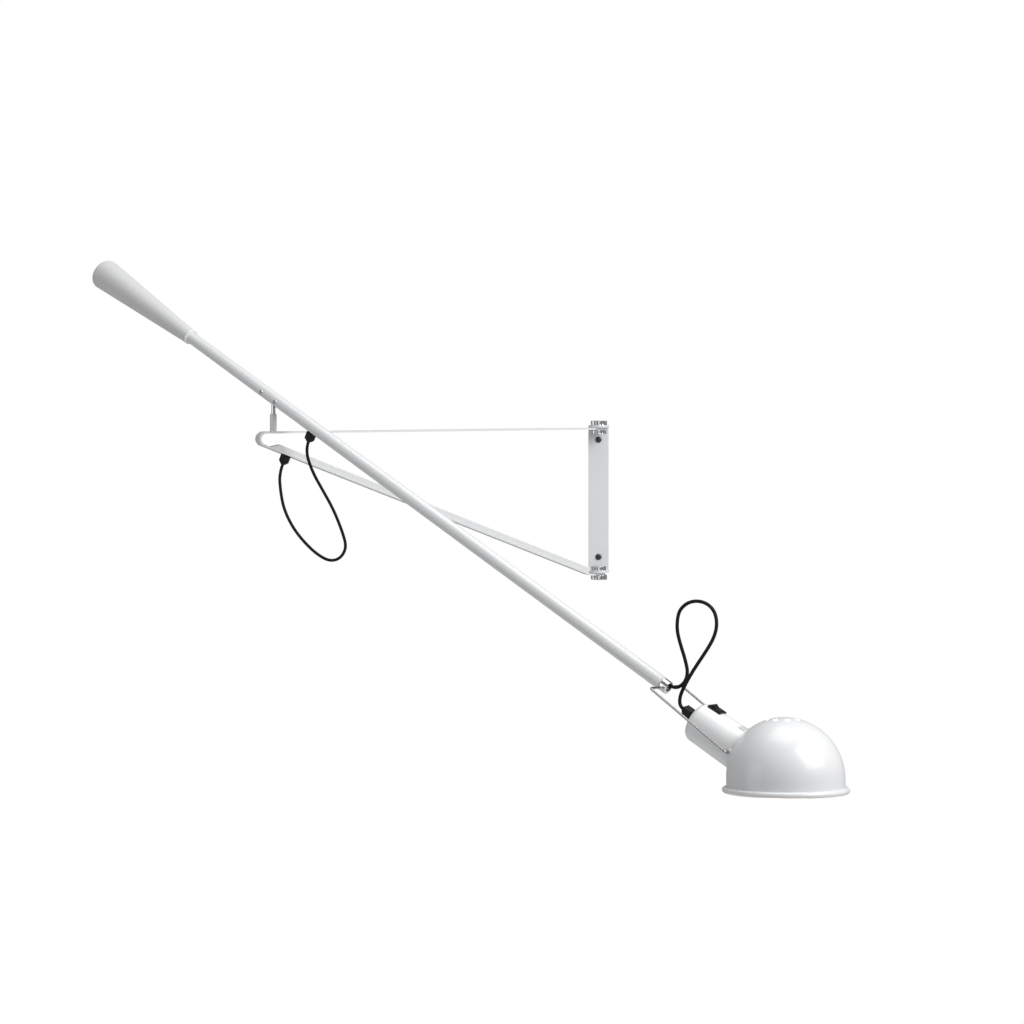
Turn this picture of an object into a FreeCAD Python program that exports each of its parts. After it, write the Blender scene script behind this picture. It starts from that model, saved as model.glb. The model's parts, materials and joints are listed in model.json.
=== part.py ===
import FreeCAD, Part
import math
import os
from FreeCAD import Placement, Rotation, Vector

# Wall lamp: a plate on the wall carries a swinging bracket, the bracket carries a
# counterweighted arm, and the arm carries a small domed head in a wire fork.
# Millimetres and degrees. Origin: centre of the wall plate's back face, which lies on the
# wall plane y = 0. The lamp stands out towards -Y, +Z is up.

# ---- pose at rest
BRACKET_OUT = 26.8        # bracket, out from the wall plane
ARM_OUT = 38.2            # arm, out from the wall plane
ARM_DOWN = 27.3           # arm, below horizontal
KNUCKLE_ROLL = 6.0        # head, rolled about the arm
FORK_DOWN = 3.9           # fork, below the line of the arm
HEAD_UP = 5.9             # lamp housing, above the line of the fork

# ---- clearances
RUNNING = 0.05            # radial, shaft in hole
FIXED = 0.02              # radial, parts of one body that do not move
SEAT = 0.3                # between faces that do not carry load
HIDDEN_GAP = 0.2          # behind covers and inside shells
BEYOND = 1.0              # a cutting solid, past the face that it opens
TOUCH = 0.01              # two places this close are the same place

# ---- wall plate
PLATE_WIDTH = 29.0
PLATE_HEIGHT = 211.0
PLATE_THICK = 3.0
PLATE_BEND = 4.0
PIVOT_STANDOFF = 16.5     # wall plane to swing axis
FIXING_SPACING = 169.0
FIXING_HOLE = 5.5

# ---- swing pivots
PIVOT_SHANK = 8.0
CAP_DIAMETER = 23.2
CAP_HEIGHT = 6.5
CAP_EDGE = 0.6
NUT_DIAMETER = 21.0
NUT_HEIGHT = 6.0
WASHER_DIAMETER = 17.0
WASHER_THICK = 0.5

# ---- bracket
POST_REACH = 492.0        # swing axis to swivel axis
STRIP_WIDTH = 18.0
STRIP_THICK = 2.5
NOSE_REACH = POST_REACH + 22.0       # swing axis to the outside of the front bend
NOSE_RADIUS = 8.5         # centre line of the front bend
TOE_LENGTH = 18.0         # flat foot of the lower run, from the swing axis
TOE_BEND = 12.0

# ---- cable channel on the lower run
CHANNEL_WIDTH = 14.0
CHANNEL_HEIGHT = 7.8
CHANNEL_WALL = 1.2
CHANNEL_START = 3.0       # along the lower run, from its foot
CHANNEL_TAPER = 10.0
CHANNEL_END_GAP = 12.0     # left free before the front bend

# ---- cable and glands
CORD = 4.0
GLAND_FLATS = 12.4
GLAND_HEX = 9.0
GLAND_NUT = 2.5
GLAND_NUT_END = 8.4
GLAND_SHANK = 8.0
GLAND_SHANK_LENGTH = 4.0
LOCKNUT_FLATS = 10.0
LOCKNUT_THICK = 2.0
BRACKET_GLAND_INSET = 18.0       # from the post, towards the wall
ARM_GLAND_REACH = 83.0
ARM_GLAND_SHANK = 3.0
HEAD_GLAND_COLLAR = 6.5
HEAD_GLAND_RAISE = 2.0
CORD_LEAD_OUT = 14.0              # straight run out of a gland
CORD_SHORT_LEAD_OUT = 6.0         # out of the head gland

# ---- swivel post
POST_DIAMETER = 9.0
POST_TOP = 124.6
STEM = 5.6
BUSH_WALL = 0.8
BUSH_FLANGE = 0.7
POST_FLOOR = 4.0
POST_SCREW = 4.0
POST_SCREW_HEAD = 7.6
GROOVE_DEPTH = 0.6
GROOVE_WIDTH = 3.2
GRUB = 3.0

# ---- arm
PIN_HEIGHT = 146.3        # tilt axis above the plate's centre
TUBE = 16.0
TUBE_WALL = 1.5
TUBE_FRONT = 690.3
TUBE_REAR = 300.0
SLOT_FRONT = 13.0
SLOT_REAR = 11.0
SLOT_WIDTH = 6.8
EYE_THICK = 3.4
EYE_RADIUS = 4.4
TILT_PIN = 4.0
PIN_SHORT = 1.0           # tilt pin, shorter than the saddle is wide
NECK_DEPTH = 1.0          # stem's neck, below the eye
NECK_SIDE = 0.4           # stem's neck, in from the stem's side
SADDLE_LENGTH = 42.0
SADDLE_CHEEK_GAP = 0.1
SADDLE_FLAT_DROP = 1.6    # saddle's flat, below the top of the eye
SADDLE_SCREW_PLACES = (-16.2, 12.2)
SADDLE_SCREW = 3.0
SADDLE_SCREW_DEPTH = 4.5
SPOT_FACE = 0.45
SCREW_HEAD = 6.4
SCREW_HEAD_HEIGHT = 1.5
HEX_SOCKET = 2.5
WEIGHT_SOCKET = 2.0
KNUCKLE_SOCKET = 1.5
SOCKET_DEPTH = 1.0
LEAD_END_GAP = 2.0        # arm lead, short of the lock ring

# ---- counterweight
WEIGHT_FRONT = 179.0      # tilt axis to the small end
WEIGHT_LENGTH = 206.0
WEIGHT_SMALL = 20.0
WEIGHT_LARGE = 44.0
WEIGHT_LIP = 1.2
WEIGHT_ROUND = 5.0
WEIGHT_SCREW_REACH = 16.0
WEIGHT_SCREW = 4.0

# ---- knuckle at the arm's end
KNUCKLE_REACH = TUBE_FRONT + 6.7    # tilt axis to the fork's cross wire
KNUCKLE = 15.0
KNUCKLE_NOSE = 3.8
KNUCKLE_BORE = 10.5
KNUCKLE_BORE_RAISE = 1.2
KNUCKLE_BORE_BACK = 3.6
SPIGOT = 9.0
SPIGOT_LENGTH = 15.0
SPIGOT_BORE = 5.4
END_BUSH_FLANGE = 1.2
LOCK_RING = 12.0
LOCK_RING_THICK = 1.2
WIRE_DROP = 0.6           # cross wire below the knuckle's axis
RING_GROOVE_DEPTH = 0.6
LOCK_RING_SPLIT = 2.0

# ---- wire fork
WIRE = 2.8
FORK_WIDTH = 69.0
FORK_LENGTH = 114.5
WIRE_BEND = 4.0
WIRE_TOE = 7.4            # from the leg's centre line into the housing

# ---- lamp housing, along its own axis, from the fork's pivot line
HOUSING_BACK = 64.5
HOUSING_FRONT_RADIUS = 24.0
HOUSING_BACK_RADIUS = 22.6
HOUSING_WALL = 1.8
HOUSING_ROUND = 8.0
BOSS_RADIUS = 3.4
VENT_COUNT = 5
VENT_STEP = 9.0
VENT_LENGTH = 8.0
VENT_WIDTH = 1.4
VENT_CENTRE = -8.0

# ---- switch
SWITCH_CENTRE = -46.5
SWITCH_LENGTH = 17.0
SWITCH_WIDTH = 14.0
SWITCH_BEZEL = 1.6
SWITCH_BODY_DEPTH = 9.5
SWITCH_RIM = 1.3
ROCKER_REST = 11.0
ROCKER_PIN = 2.0
ROCKER_TOP = 2.8
ROCKER_DEPTH = 3.6
ROCKER_VALLEY = 1.4       # its middle, above the rocking axis
ROCKER_SIDE_DEPTH = 1.4
ROCKER_TAPER = 0.86       # its underside, as a share of its top
ROCKER_KEEL = 0.8         # its lowest edge, as a share of its depth
ROCKER_END_GAP = 0.45
ROCKER_SINK = 1.2         # rocking axis, below the bezel's top
ROCKER_ROOM = 2.4         # well, deeper than the rocker
SWITCH_WALL = 1.0
PIN_LEDGE = 0.4           # left outside the pin's hole

# ---- shade
SHADE_TILT = 60.5         # shade axis, below the housing's axis
SHADE_RADIUS = 63.0
SHADE_WALL = 1.0
SHADE_SKIRT = 13.5
SHADE_AHEAD = 58.5        # dome centre, along the housing's axis
SHADE_RAISE = 3.8
RIM_BEAD = 6.2
RIM_OUTER = 2 * SHADE_RADIUS + 9.4
CROWN_HOLES = 8
CROWN_HOLE = 5.5
CROWN_RADIUS = 16.5
SHADE_RING_OUTER = 24.0
SHADE_RING_THICK = 4.5
SHADE_RING_BITE = 2.0     # in from the ring's edge to where it meets the dome

# ---- lampholder and bulb
HOLDER_RADIUS = 19.5
HOLDER_BACK = 38.0
HOLDER_FRONT = 9.0
HOLDER_BORE = 14.2
HOLDER_FLOOR = 10.0
HOLDER_FLANGE_THICK = 3.0
HOLDER_FLANGE_PLACE = -14.0
SHELL_WALL = 0.4
SHELL_SHORT = 6.0         # thread shell, short of the holder's mouth
CONTACT = 5.0
BULB_RADIUS = 32.0
BULB_CENTRE = 57.0
BULB_LENGTH = 112.0
BULB_CAP_RADIUS = 13.2
BULB_CAP_LENGTH = 27.0
BULB_SHOULDER = 148.0     # from the globe's pole to where the neck leaves it
BULB_TIP_RADIUS = 4.5
BULB_TIP_RISE = 3.0       # insulator, along the axis
BULB_CAP_RISE = 5.0       # end of the cap's first bevel
BULB_CAP_BEVEL = 2.0
BULB_WALL = 0.8

X = Vector(1, 0, 0)
Y = Vector(0, 1, 0)
Z = Vector(0, 0, 1)
ORIGIN = Vector(0, 0, 0)


# ---------------------------------------------------------------- frames
def turned(origin, axis, angle):
    return Placement(origin, Rotation(axis, angle))


BRACKET = turned(Vector(0, -PIVOT_STANDOFF, 0), Z, 180 + BRACKET_OUT)
PIN = BRACKET.multVec(Vector(POST_REACH, 0, PIN_HEIGHT))
SWIVEL = turned(PIN, Z, -ARM_OUT)
ARM = SWIVEL.multiply(turned(ORIGIN, Y, ARM_DOWN))
KNUCKLE_FRAME = ARM.multiply(turned(X * KNUCKLE_REACH, X, -KNUCKLE_ROLL))
FORK = KNUCKLE_FRAME.multiply(turned(Z * -WIRE_DROP, Y, FORK_DOWN))
HEAD = FORK.multiply(turned(X * FORK_LENGTH, Y, -HEAD_UP))
DOME_CENTRE = Vector(SHADE_AHEAD, 0, SHADE_RAISE)
SHADE = HEAD.multiply(turned(DOME_CENTRE, Y, SHADE_TILT - 90))


# ---------------------------------------------------------------- small helpers
def rod(diameter, length, base=ORIGIN, axis=Z):
    return Part.makeCylinder(diameter / 2, length, base, axis)


def ring(outer, inner, length, base=ORIGIN, axis=Z):
    return rod(outer, length, base, axis).cut(rod(inner, length, base, axis))


def block(low, high):
    size = high - low
    return Part.makeBox(size.x, size.y, size.z, low)


def hexagon(flats, height, base=ORIGIN, axis=Z):
    corner = flats / math.sqrt(3)
    points = [Vector(corner * math.cos(math.radians(a)), corner * math.sin(math.radians(a)), 0)
              for a in range(0, 361, 60)]
    prism = Part.Face(Part.makePolygon(points)).extrude(Z * height)
    prism.Placement = Placement(base, Rotation(Z, axis))
    return prism


def spun(profile, base=ORIGIN, axis=X):
    """Solid of revolution of a closed profile given as (along, radius) pairs."""
    points = [Vector(along, 0, radius) for along, radius in profile]
    solid = Part.Face(Part.makePolygon(points + points[:1])).revolve(ORIGIN, X, 360)
    solid.Placement = Placement(base, Rotation(X, axis))
    return solid


def rounded_path(points, radii):
    """Straight runs joined by tangent arcs, one radius for each inner point."""
    edges = []
    start = points[0]
    for before, corner, after, radius in zip(points, points[1:], points[2:], radii):
        toward = (before - corner).normalize()
        away = (after - corner).normalize()
        half = toward.getAngle(away) / 2
        setback = radius / math.tan(half)
        first = corner + toward * setback
        last = corner + away * setback
        bisector = (toward + away).normalize()
        middle = corner + bisector * (radius / math.sin(half) - radius)
        edges.append(Part.LineSegment(start, first).toShape())
        edges.append(Part.Arc(first, middle, last).toShape())
        start = last
    edges.append(Part.LineSegment(start, points[-1]).toShape())
    return Part.Wire(edges)


def tube_along(wire, diameter):
    start = wire.Edges[0]
    section = Part.Wire(Part.Circle(start.valueAt(start.FirstParameter),
                                    start.tangentAt(start.FirstParameter), diameter / 2).toShape())
    return wire.makePipeShell([section], True, False)


def circles(solid):
    return [edge for edge in solid.Edges if edge.Curve.TypeId == "Part::GeomCircle"]


def round_edges(solid, along):
    """Circular edges lying square to X at one place along it."""
    return [edge for edge in circles(solid)
            if abs(edge.BoundBox.XMin - along) < TOUCH and edge.BoundBox.XLength < TOUCH]


def placed(shape, frame):
    shape.Placement = frame.multiply(shape.Placement)
    return shape


def joined(*shapes):
    solid = shapes[0].fuse(list(shapes[1:]))
    return solid.removeSplitter()


# ---------------------------------------------------------------- wall plate and pivots
def strip_end(radius, low, high, centre_y=0.0):
    return Part.makeCylinder(radius, high - low, Vector(0, centre_y, low), Z)


def wall_plate():
    half = PLATE_HEIGHT / 2
    front = -PIVOT_STANDOFF
    middle = PLATE_THICK / 2
    path = [Vector(0, front, half - middle), Vector(0, -middle, half - middle),
            Vector(0, -middle, middle - half), Vector(0, front, middle - half)]
    bend = PLATE_BEND - middle
    wire = rounded_path(path, [bend, bend])
    plate = ribbon(wire, PLATE_THICK, X * PLATE_WIDTH)
    for low in (half - PLATE_THICK, -half):
        ear = strip_end(PLATE_WIDTH / 2, low, low + PLATE_THICK, front)
        plate = plate.fuse(ear)
    plate = plate.removeSplitter()
    plate = plate.cut(rod(PIVOT_SHANK + 2 * FIXED, PLATE_HEIGHT, Vector(0, front, -half)))
    for side in (1, -1):
        plate = plate.cut(rod(FIXING_HOLE, PLATE_THICK, Vector(0, 0, side * FIXING_SPACING / 2), -Y))
    return plate


def ribbon(wire, thickness, across):
    """Flat strip whose middle line is the wire, as wide as the vector across it."""
    outline = wire.makeOffset2D(thickness / 2, fill=True, openResult=True, join=2)
    other = wire.makeOffset2D(-thickness / 2, fill=True, openResult=True, join=2)
    solid = outline.fuse(other).removeSplitter().extrude(across)
    solid.translate(across * -0.5)
    return solid


def ear_top():
    return PLATE_HEIGHT / 2


def upper_strip_top():
    """Top face of the bracket's upper run, under the plate's upper ear."""
    return PLATE_HEIGHT / 2 - PLATE_THICK - WASHER_THICK


def lower_strip_top():
    """Top face of the bracket's foot, under the plate's lower ear."""
    return -PLATE_HEIGHT / 2 - WASHER_THICK


def pivot_cap(face, into):
    """Round cap screw: its head stands on a face, its shank runs the way of into."""
    centre = Vector(0, -PIVOT_STANDOFF, face)
    head = rod(CAP_DIAMETER, CAP_HEIGHT, centre, into * -1)
    head = head.makeChamfer(CAP_EDGE, circles(head))
    return head, centre


def pivot_screw_top():
    head, centre = pivot_cap(ear_top(), -Z)
    length = ear_top() - upper_strip_top() + STRIP_THICK + WASHER_THICK + NUT_HEIGHT
    return joined(head, rod(PIVOT_SHANK, length, centre, -Z))


def pivot_screw_bottom():
    head, centre = pivot_cap(lower_strip_top() - STRIP_THICK - WASHER_THICK, Z)
    length = 2 * WASHER_THICK + STRIP_THICK + PLATE_THICK + NUT_HEIGHT
    return joined(head, rod(PIVOT_SHANK, length, centre, Z))


def pivot_nut(low):
    nut = ring(NUT_DIAMETER, PIVOT_SHANK + 2 * FIXED, NUT_HEIGHT, Vector(0, -PIVOT_STANDOFF, low))
    return nut.makeChamfer(CAP_EDGE, [edge for edge in circles(nut) if edge.Curve.Radius > PIVOT_SHANK])


def pivot_nut_top():
    return pivot_nut(upper_strip_top() - STRIP_THICK - WASHER_THICK - NUT_HEIGHT)


def pivot_nut_bottom():
    return pivot_nut(PLATE_THICK - PLATE_HEIGHT / 2)


def pivot_washers():
    lows = (upper_strip_top(), upper_strip_top() - STRIP_THICK - WASHER_THICK,
            lower_strip_top(), lower_strip_top() - STRIP_THICK - WASHER_THICK)
    return Part.makeCompound([ring(WASHER_DIAMETER, PIVOT_SHANK + 2 * RUNNING, WASHER_THICK,
                                   Vector(0, -PIVOT_STANDOFF, low)) for low in lows])


# ---------------------------------------------------------------- bracket, in the BRACKET frame
def lower_run():
    """Foot corner and slope of the lower run, from the tangent to the front bend."""
    foot = Vector(TOE_LENGTH, 0, lower_strip_top() - STRIP_THICK / 2)
    centre = upper_strip_top() - STRIP_THICK / 2 - NOSE_RADIUS
    nose = Vector(NOSE_REACH - NOSE_RADIUS - STRIP_THICK / 2, 0, centre)
    reach = nose - foot
    slope = math.atan2(reach.z, reach.x) - math.asin(NOSE_RADIUS / reach.Length)
    return foot, nose, slope


def along_lower_run(distance, offset):
    """Point on the lower run: distance from the foot corner, offset square to it, upwards."""
    foot, _, slope = lower_run()
    direction = Vector(math.cos(slope), 0, math.sin(slope))
    square = Vector(-math.sin(slope), 0, math.cos(slope))
    return foot + direction * distance + square * offset


def strip_centre_line():
    foot, nose, slope = lower_run()
    top = nose.z + NOSE_RADIUS
    tip = nose + X * NOSE_RADIUS
    touch = nose + Vector(math.sin(slope), 0, -math.cos(slope)) * NOSE_RADIUS
    setback = TOE_BEND * math.tan(slope / 2)
    knee_in = foot - X * setback
    knee_out = along_lower_run(setback, 0)
    bisector = Z * math.cos(slope / 2) - X * math.sin(slope / 2)
    knee_mid = foot + bisector * (TOE_BEND / math.cos(slope / 2) - TOE_BEND)
    return Part.Wire([
        Part.LineSegment(Vector(0, 0, top), Vector(nose.x, 0, top)).toShape(),
        Part.Arc(Vector(nose.x, 0, top), tip, touch).toShape(),
        Part.LineSegment(touch, knee_out).toShape(),
        Part.Arc(knee_out, knee_mid, knee_in).toShape(),
        Part.LineSegment(knee_in, Vector(0, 0, foot.z)).toShape()])


def bracket_strip():
    strip = ribbon(strip_centre_line(), STRIP_THICK, Y * STRIP_WIDTH)
    high = upper_strip_top()
    low = lower_strip_top() - STRIP_THICK
    for base in (high - STRIP_THICK, low):
        strip = strip.fuse(strip_end(STRIP_WIDTH / 2, base, base + STRIP_THICK))
    strip = strip.removeSplitter()
    height = high - low + 2 * STRIP_THICK
    strip = strip.cut(rod(PIVOT_SHANK + 2 * RUNNING, height, Vector(0, 0, low - STRIP_THICK)))
    post = Vector(POST_REACH, 0, high)
    strip = strip.cut(rod(POST_SCREW + 2 * FIXED, STRIP_THICK * 2, post + Z, -Z))
    strip = strip.cut(countersink(post - Z * STRIP_THICK, FIXED))
    return strip.cut(gland_shank(FIXED, STRIP_THICK * 3, -STRIP_THICK * 1.5))


def countersink(face, gap):
    depth = (POST_SCREW_HEAD - POST_SCREW) / 2
    return Part.makeCone(POST_SCREW_HEAD / 2 + gap, POST_SCREW / 2 + gap, depth, face, Z)


def gland_place():
    """Distance of the bracket gland along the lower run, from the foot corner."""
    foot, _, slope = lower_run()
    return (POST_REACH - BRACKET_GLAND_INSET - foot.x) / math.cos(slope)


def lower_run_axes():
    _, _, slope = lower_run()
    return Vector(math.sin(slope), 0, -math.cos(slope))


def gland_shank(gap, length, start):
    down = lower_run_axes()
    base = along_lower_run(gland_place(), 0) + down * start
    return rod(GLAND_SHANK + 2 * gap, length, base, down)


def channel():
    """Inverted trough on the upper side of the lower run, tapered at its front end."""
    foot, nose, _ = lower_run()
    end = (nose - foot).Length * math.cos(math.asin(NOSE_RADIUS / (nose - foot).Length)) - CHANNEL_END_GAP
    seat = STRIP_THICK / 2
    top = seat + CHANNEL_HEIGHT
    bend = end - CHANNEL_TAPER
    outline = [(CHANNEL_START, seat), (CHANNEL_START, top), (bend, top),
               (end, seat + CHANNEL_WALL), (end, seat)]
    start = CHANNEL_START + CHANNEL_WALL
    hollow = [(start, seat), (start, top - CHANNEL_WALL), (bend, top - CHANNEL_WALL), (bend, seat)]
    outer = lower_run_prism(outline, CHANNEL_WIDTH)
    outer = outer.makeFillet(CHANNEL_WALL, [edge for edge in outer.Edges if is_long_top(edge, top)])
    return outer.cut(lower_run_prism(hollow, CHANNEL_WIDTH - 2 * CHANNEL_WALL))


def is_long_top(edge, top):
    """Whether an edge runs along the channel's top."""
    ends = [vertex.Point for vertex in edge.Vertexes]
    level = abs(ends[0].y - ends[-1].y) < TOUCH
    return level and min(height_over_run(end) for end in ends) > top - TOUCH


def height_over_run(point):
    foot, _, slope = lower_run()
    reach = point - foot
    return reach.z * math.cos(slope) - reach.x * math.sin(slope)


def lower_run_prism(outline, width):
    points = [along_lower_run(distance, offset) for distance, offset in outline]
    solid = Part.Face(Part.makePolygon(points + points[:1])).extrude(Y * width)
    solid.translate(Y * (-width / 2))
    return solid


def channel_lead():
    """Insulated lead lying in the channel, up to the bracket gland's locknut."""
    offset = STRIP_THICK / 2 + HIDDEN_GAP + CORD / 2
    start = along_lower_run(CHANNEL_START + CHANNEL_WALL + HIDDEN_GAP, offset)
    stop = along_lower_run(gland_place() - LOCKNUT_FLATS / math.sqrt(3) - HIDDEN_GAP, offset)
    return rod(CORD, (stop - start).Length, start, stop - start)


def gland_length():
    return GLAND_HEX + GLAND_NUT


def gland(base, out, shank_length):
    """Cable gland: hexagon, tapered end and threaded shank, bored from behind for the conductors."""
    body = joined(hexagon(GLAND_FLATS, GLAND_HEX, base, out),
                  Part.makeCone(GLAND_FLATS / 2, GLAND_NUT_END / 2, GLAND_NUT, base + out * GLAND_HEX, out),
                  rod(GLAND_SHANK, shank_length, base, out * -1))
    height = gland_length() + shank_length
    bore = rod(CORD + 2 * FIXED, height - CORD, base - out * shank_length, out)
    return body.cut(bore)


def locknut(face, out, flats, gap):
    nut = hexagon(flats, LOCKNUT_THICK, face - out * LOCKNUT_THICK, out)
    return nut.cut(rod(GLAND_SHANK + 2 * gap, LOCKNUT_THICK, face - out * LOCKNUT_THICK, out))


def bracket_gland():
    down = lower_run_axes()
    face = along_lower_run(gland_place(), -STRIP_THICK / 2)
    return gland(face, down, STRIP_THICK + LOCKNUT_THICK + SEAT)


def bracket_gland_nut():
    down = lower_run_axes()
    return locknut(along_lower_run(gland_place(), STRIP_THICK / 2), down, LOCKNUT_FLATS, FIXED)


# ---------------------------------------------------------------- swivel post, in the BRACKET frame
def post_base():
    return Vector(POST_REACH, 0, upper_strip_top())


def bush_outer():
    return STEM + 2 * RUNNING + 2 * BUSH_WALL


def swivel_post():
    height = POST_TOP - upper_strip_top()
    post = rod(POST_DIAMETER, height, post_base())
    post = post.makeChamfer(CAP_EDGE / 2, [post.Edges[0]])
    post = post.cut(rod(bush_outer() + 2 * FIXED, height, post_base() + Z * POST_FLOOR))
    post = post.cut(rod(POST_SCREW + 2 * FIXED, POST_FLOOR, post_base()))
    return post.cut(rod(GRUB + 2 * FIXED, POST_DIAMETER, grub_centre(), -Y))


def post_screw():
    """Countersunk screw through the strip into the post's floor."""
    face = post_base() - Z * STRIP_THICK
    depth = (POST_SCREW_HEAD - POST_SCREW) / 2
    screw = joined(Part.makeCone(POST_SCREW_HEAD / 2, POST_SCREW / 2, depth, face, Z),
                   rod(POST_SCREW, STRIP_THICK + POST_FLOOR, face))
    return screw.cut(hexagon(HEX_SOCKET, STRIP_THICK / 2, face))


def post_bush():
    low = post_base() + Z * POST_FLOOR
    height = POST_TOP - low.z
    bush = joined(ring(bush_outer(), STEM + 2 * RUNNING, height, low),
                  ring(POST_DIAMETER - 2 * CAP_EDGE, STEM + 2 * RUNNING, BUSH_FLANGE, low + Z * height))
    return bush.cut(rod(GRUB + 2 * SEAT, POST_DIAMETER, grub_centre(), -Y))


def grub_centre():
    return Vector(POST_REACH, 0, (POST_TOP + upper_strip_top() + POST_FLOOR) / 2)


def post_grub():
    """Grub screw on the wall side of the post; its tip keeps the stem from lifting out."""
    tip = STEM / 2 - GROOVE_DEPTH + SEAT
    return rod(GRUB, POST_DIAMETER / 2 - tip, grub_centre() - Y * tip, -Y)


def stem():
    """Turned stem in the post, with a flat eye for the tilt pin. In the SWIVEL frame."""
    foot = upper_strip_top() + POST_FLOOR + HIDDEN_GAP - PIN_HEIGHT
    shoulder = -EYE_RADIUS - NECK_DEPTH
    body = rod(STEM, shoulder - foot, Z * foot)
    groove_low = (POST_TOP + upper_strip_top() + POST_FLOOR) / 2 - PIN_HEIGHT - GROOVE_WIDTH / 2 - SEAT
    body = body.cut(ring(STEM + BEYOND, STEM - 2 * GROOVE_DEPTH, GROOVE_WIDTH + 2 * SEAT, Z * groove_low))
    eye = rod(2 * EYE_RADIUS, EYE_THICK, Y * (-EYE_THICK / 2), Y)
    side = STEM / 2 - NECK_SIDE
    neck = block(Vector(-side, -EYE_THICK / 2, shoulder - BEYOND), Vector(side, EYE_THICK / 2, 0))
    whole = joined(body, eye, neck)
    return whole.cut(rod(TILT_PIN + 2 * RUNNING, EYE_THICK, Y * (-EYE_THICK / 2), Y))


# ---------------------------------------------------------------- arm, in the ARM frame
def arm_bore():
    return TUBE - 2 * TUBE_WALL


def arm_tube():
    tube = ring(TUBE, arm_bore(), TUBE_FRONT + TUBE_REAR, X * -TUBE_REAR, X)
    slot = block(Vector(-SLOT_REAR, -SLOT_WIDTH / 2, -TUBE), Vector(SLOT_FRONT, SLOT_WIDTH / 2, 0))
    slot = joined(slot, *[rod(SLOT_WIDTH, TUBE, Vector(end, 0, -TUBE)) for end in (-SLOT_REAR, SLOT_FRONT)])
    tube = tube.cut(slot)
    for place in SADDLE_SCREW_PLACES:
        tube = tube.cut(rod(SADDLE_SCREW + 2 * FIXED, TUBE, X * place, -Y))
        tube = tube.cut(rod(SCREW_HEAD + 2 * HIDDEN_GAP, TUBE, Vector(place, SPOT_FACE - TUBE / 2, 0), -Y))
    tube = tube.cut(rod(GLAND_SHANK + 2 * FIXED, TUBE, X * ARM_GLAND_REACH, -Z))
    return tube.cut(rod(WEIGHT_SCREW + 2 * FIXED, TUBE, X * (-WEIGHT_FRONT - WEIGHT_SCREW_REACH), -Z))


def saddle():
    """Turned plug in the tube: slotted for the stem's eye, open below, flat above for the lead."""
    body = rod(arm_bore() - 2 * FIXED, SADDLE_LENGTH, X * (-SADDLE_LENGTH / 2), X)
    flat = EYE_RADIUS - SADDLE_FLAT_DROP
    body = body.cut(block(Vector(-SADDLE_LENGTH, -TUBE, flat), Vector(SADDLE_LENGTH, TUBE, TUBE)))
    gap = EYE_THICK + 2 * SADDLE_CHEEK_GAP
    body = body.cut(block(Vector(-SLOT_REAR, -gap / 2, -TUBE), Vector(SLOT_FRONT, gap / 2, TUBE)))
    mouth = block(Vector(-SLOT_REAR, -SLOT_WIDTH / 2, -TUBE), Vector(SLOT_FRONT, SLOT_WIDTH / 2, 0))
    body = body.cut(mouth.cut(rod(2 * (EYE_RADIUS + SEAT), TUBE, Y * (-TUBE / 2), Y)))
    body = body.cut(rod(TILT_PIN + 2 * FIXED, TUBE, Y * (-TUBE / 2), Y))
    for place in SADDLE_SCREW_PLACES:
        body = body.cut(rod(SADDLE_SCREW + 2 * FIXED, TUBE, X * place + Y, -Y))
    return body


def tilt_pin():
    length = arm_bore() - 4 * FIXED - PIN_SHORT
    return rod(TILT_PIN, length, Y * (-length / 2), Y)


def saddle_screws():
    screws = []
    for place in SADDLE_SCREW_PLACES:
        seat = Vector(place, SPOT_FACE - TUBE / 2, 0)
        head = rod(SCREW_HEAD, SCREW_HEAD_HEIGHT, seat, -Y)
        rim = [edge for edge in head.Edges if edge.BoundBox.YMax < seat.y - SCREW_HEAD_HEIGHT / 2]
        head = head.makeFillet(SCREW_HEAD_HEIGHT / 3, rim)
        screw = joined(head, rod(SADDLE_SCREW, SADDLE_SCREW_DEPTH, seat, Y))
        screws.append(screw.cut(hexagon(HEX_SOCKET, SOCKET_DEPTH, seat - Y * SCREW_HEAD_HEIGHT, Y)))
    return Part.makeCompound(screws)


def arm_gland():
    face = Vector(ARM_GLAND_REACH, 0, -TUBE / 2)
    return gland(face, -Z, ARM_GLAND_SHANK)


def arm_lead():
    """Insulated lead along the top of the tube's bore, from the gland to the knuckle."""
    height = arm_bore() / 2 - CORD / 2 - SEAT
    start = ARM_GLAND_REACH + GLAND_SHANK / 2
    stop = TUBE_FRONT - SPIGOT_LENGTH - LOCK_RING_THICK - LEAD_END_GAP
    return rod(CORD, stop - start, Vector(start, 0, height), X)


def counterweight():
    """Cast cone, bored for the tube, with a lip at its small end and a rounded large end."""
    front = -WEIGHT_FRONT
    back = front - WEIGHT_LENGTH
    cone = spun([(front, 0), (front, WEIGHT_SMALL / 2), (back, WEIGHT_LARGE / 2), (back, 0)])
    cone = cone.makeFillet(WEIGHT_ROUND, round_edges(cone, back))
    cone = cone.makeFillet(WEIGHT_LIP, round_edges(cone, front))
    cone = cone.cut(rod(TUBE + 2 * FIXED, TUBE_REAR - WEIGHT_FRONT + SEAT, X * front, -X))
    return cone.cut(rod(WEIGHT_SCREW + 2 * FIXED, WEIGHT_LARGE, X * (front - WEIGHT_SCREW_REACH), -Z))


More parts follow.
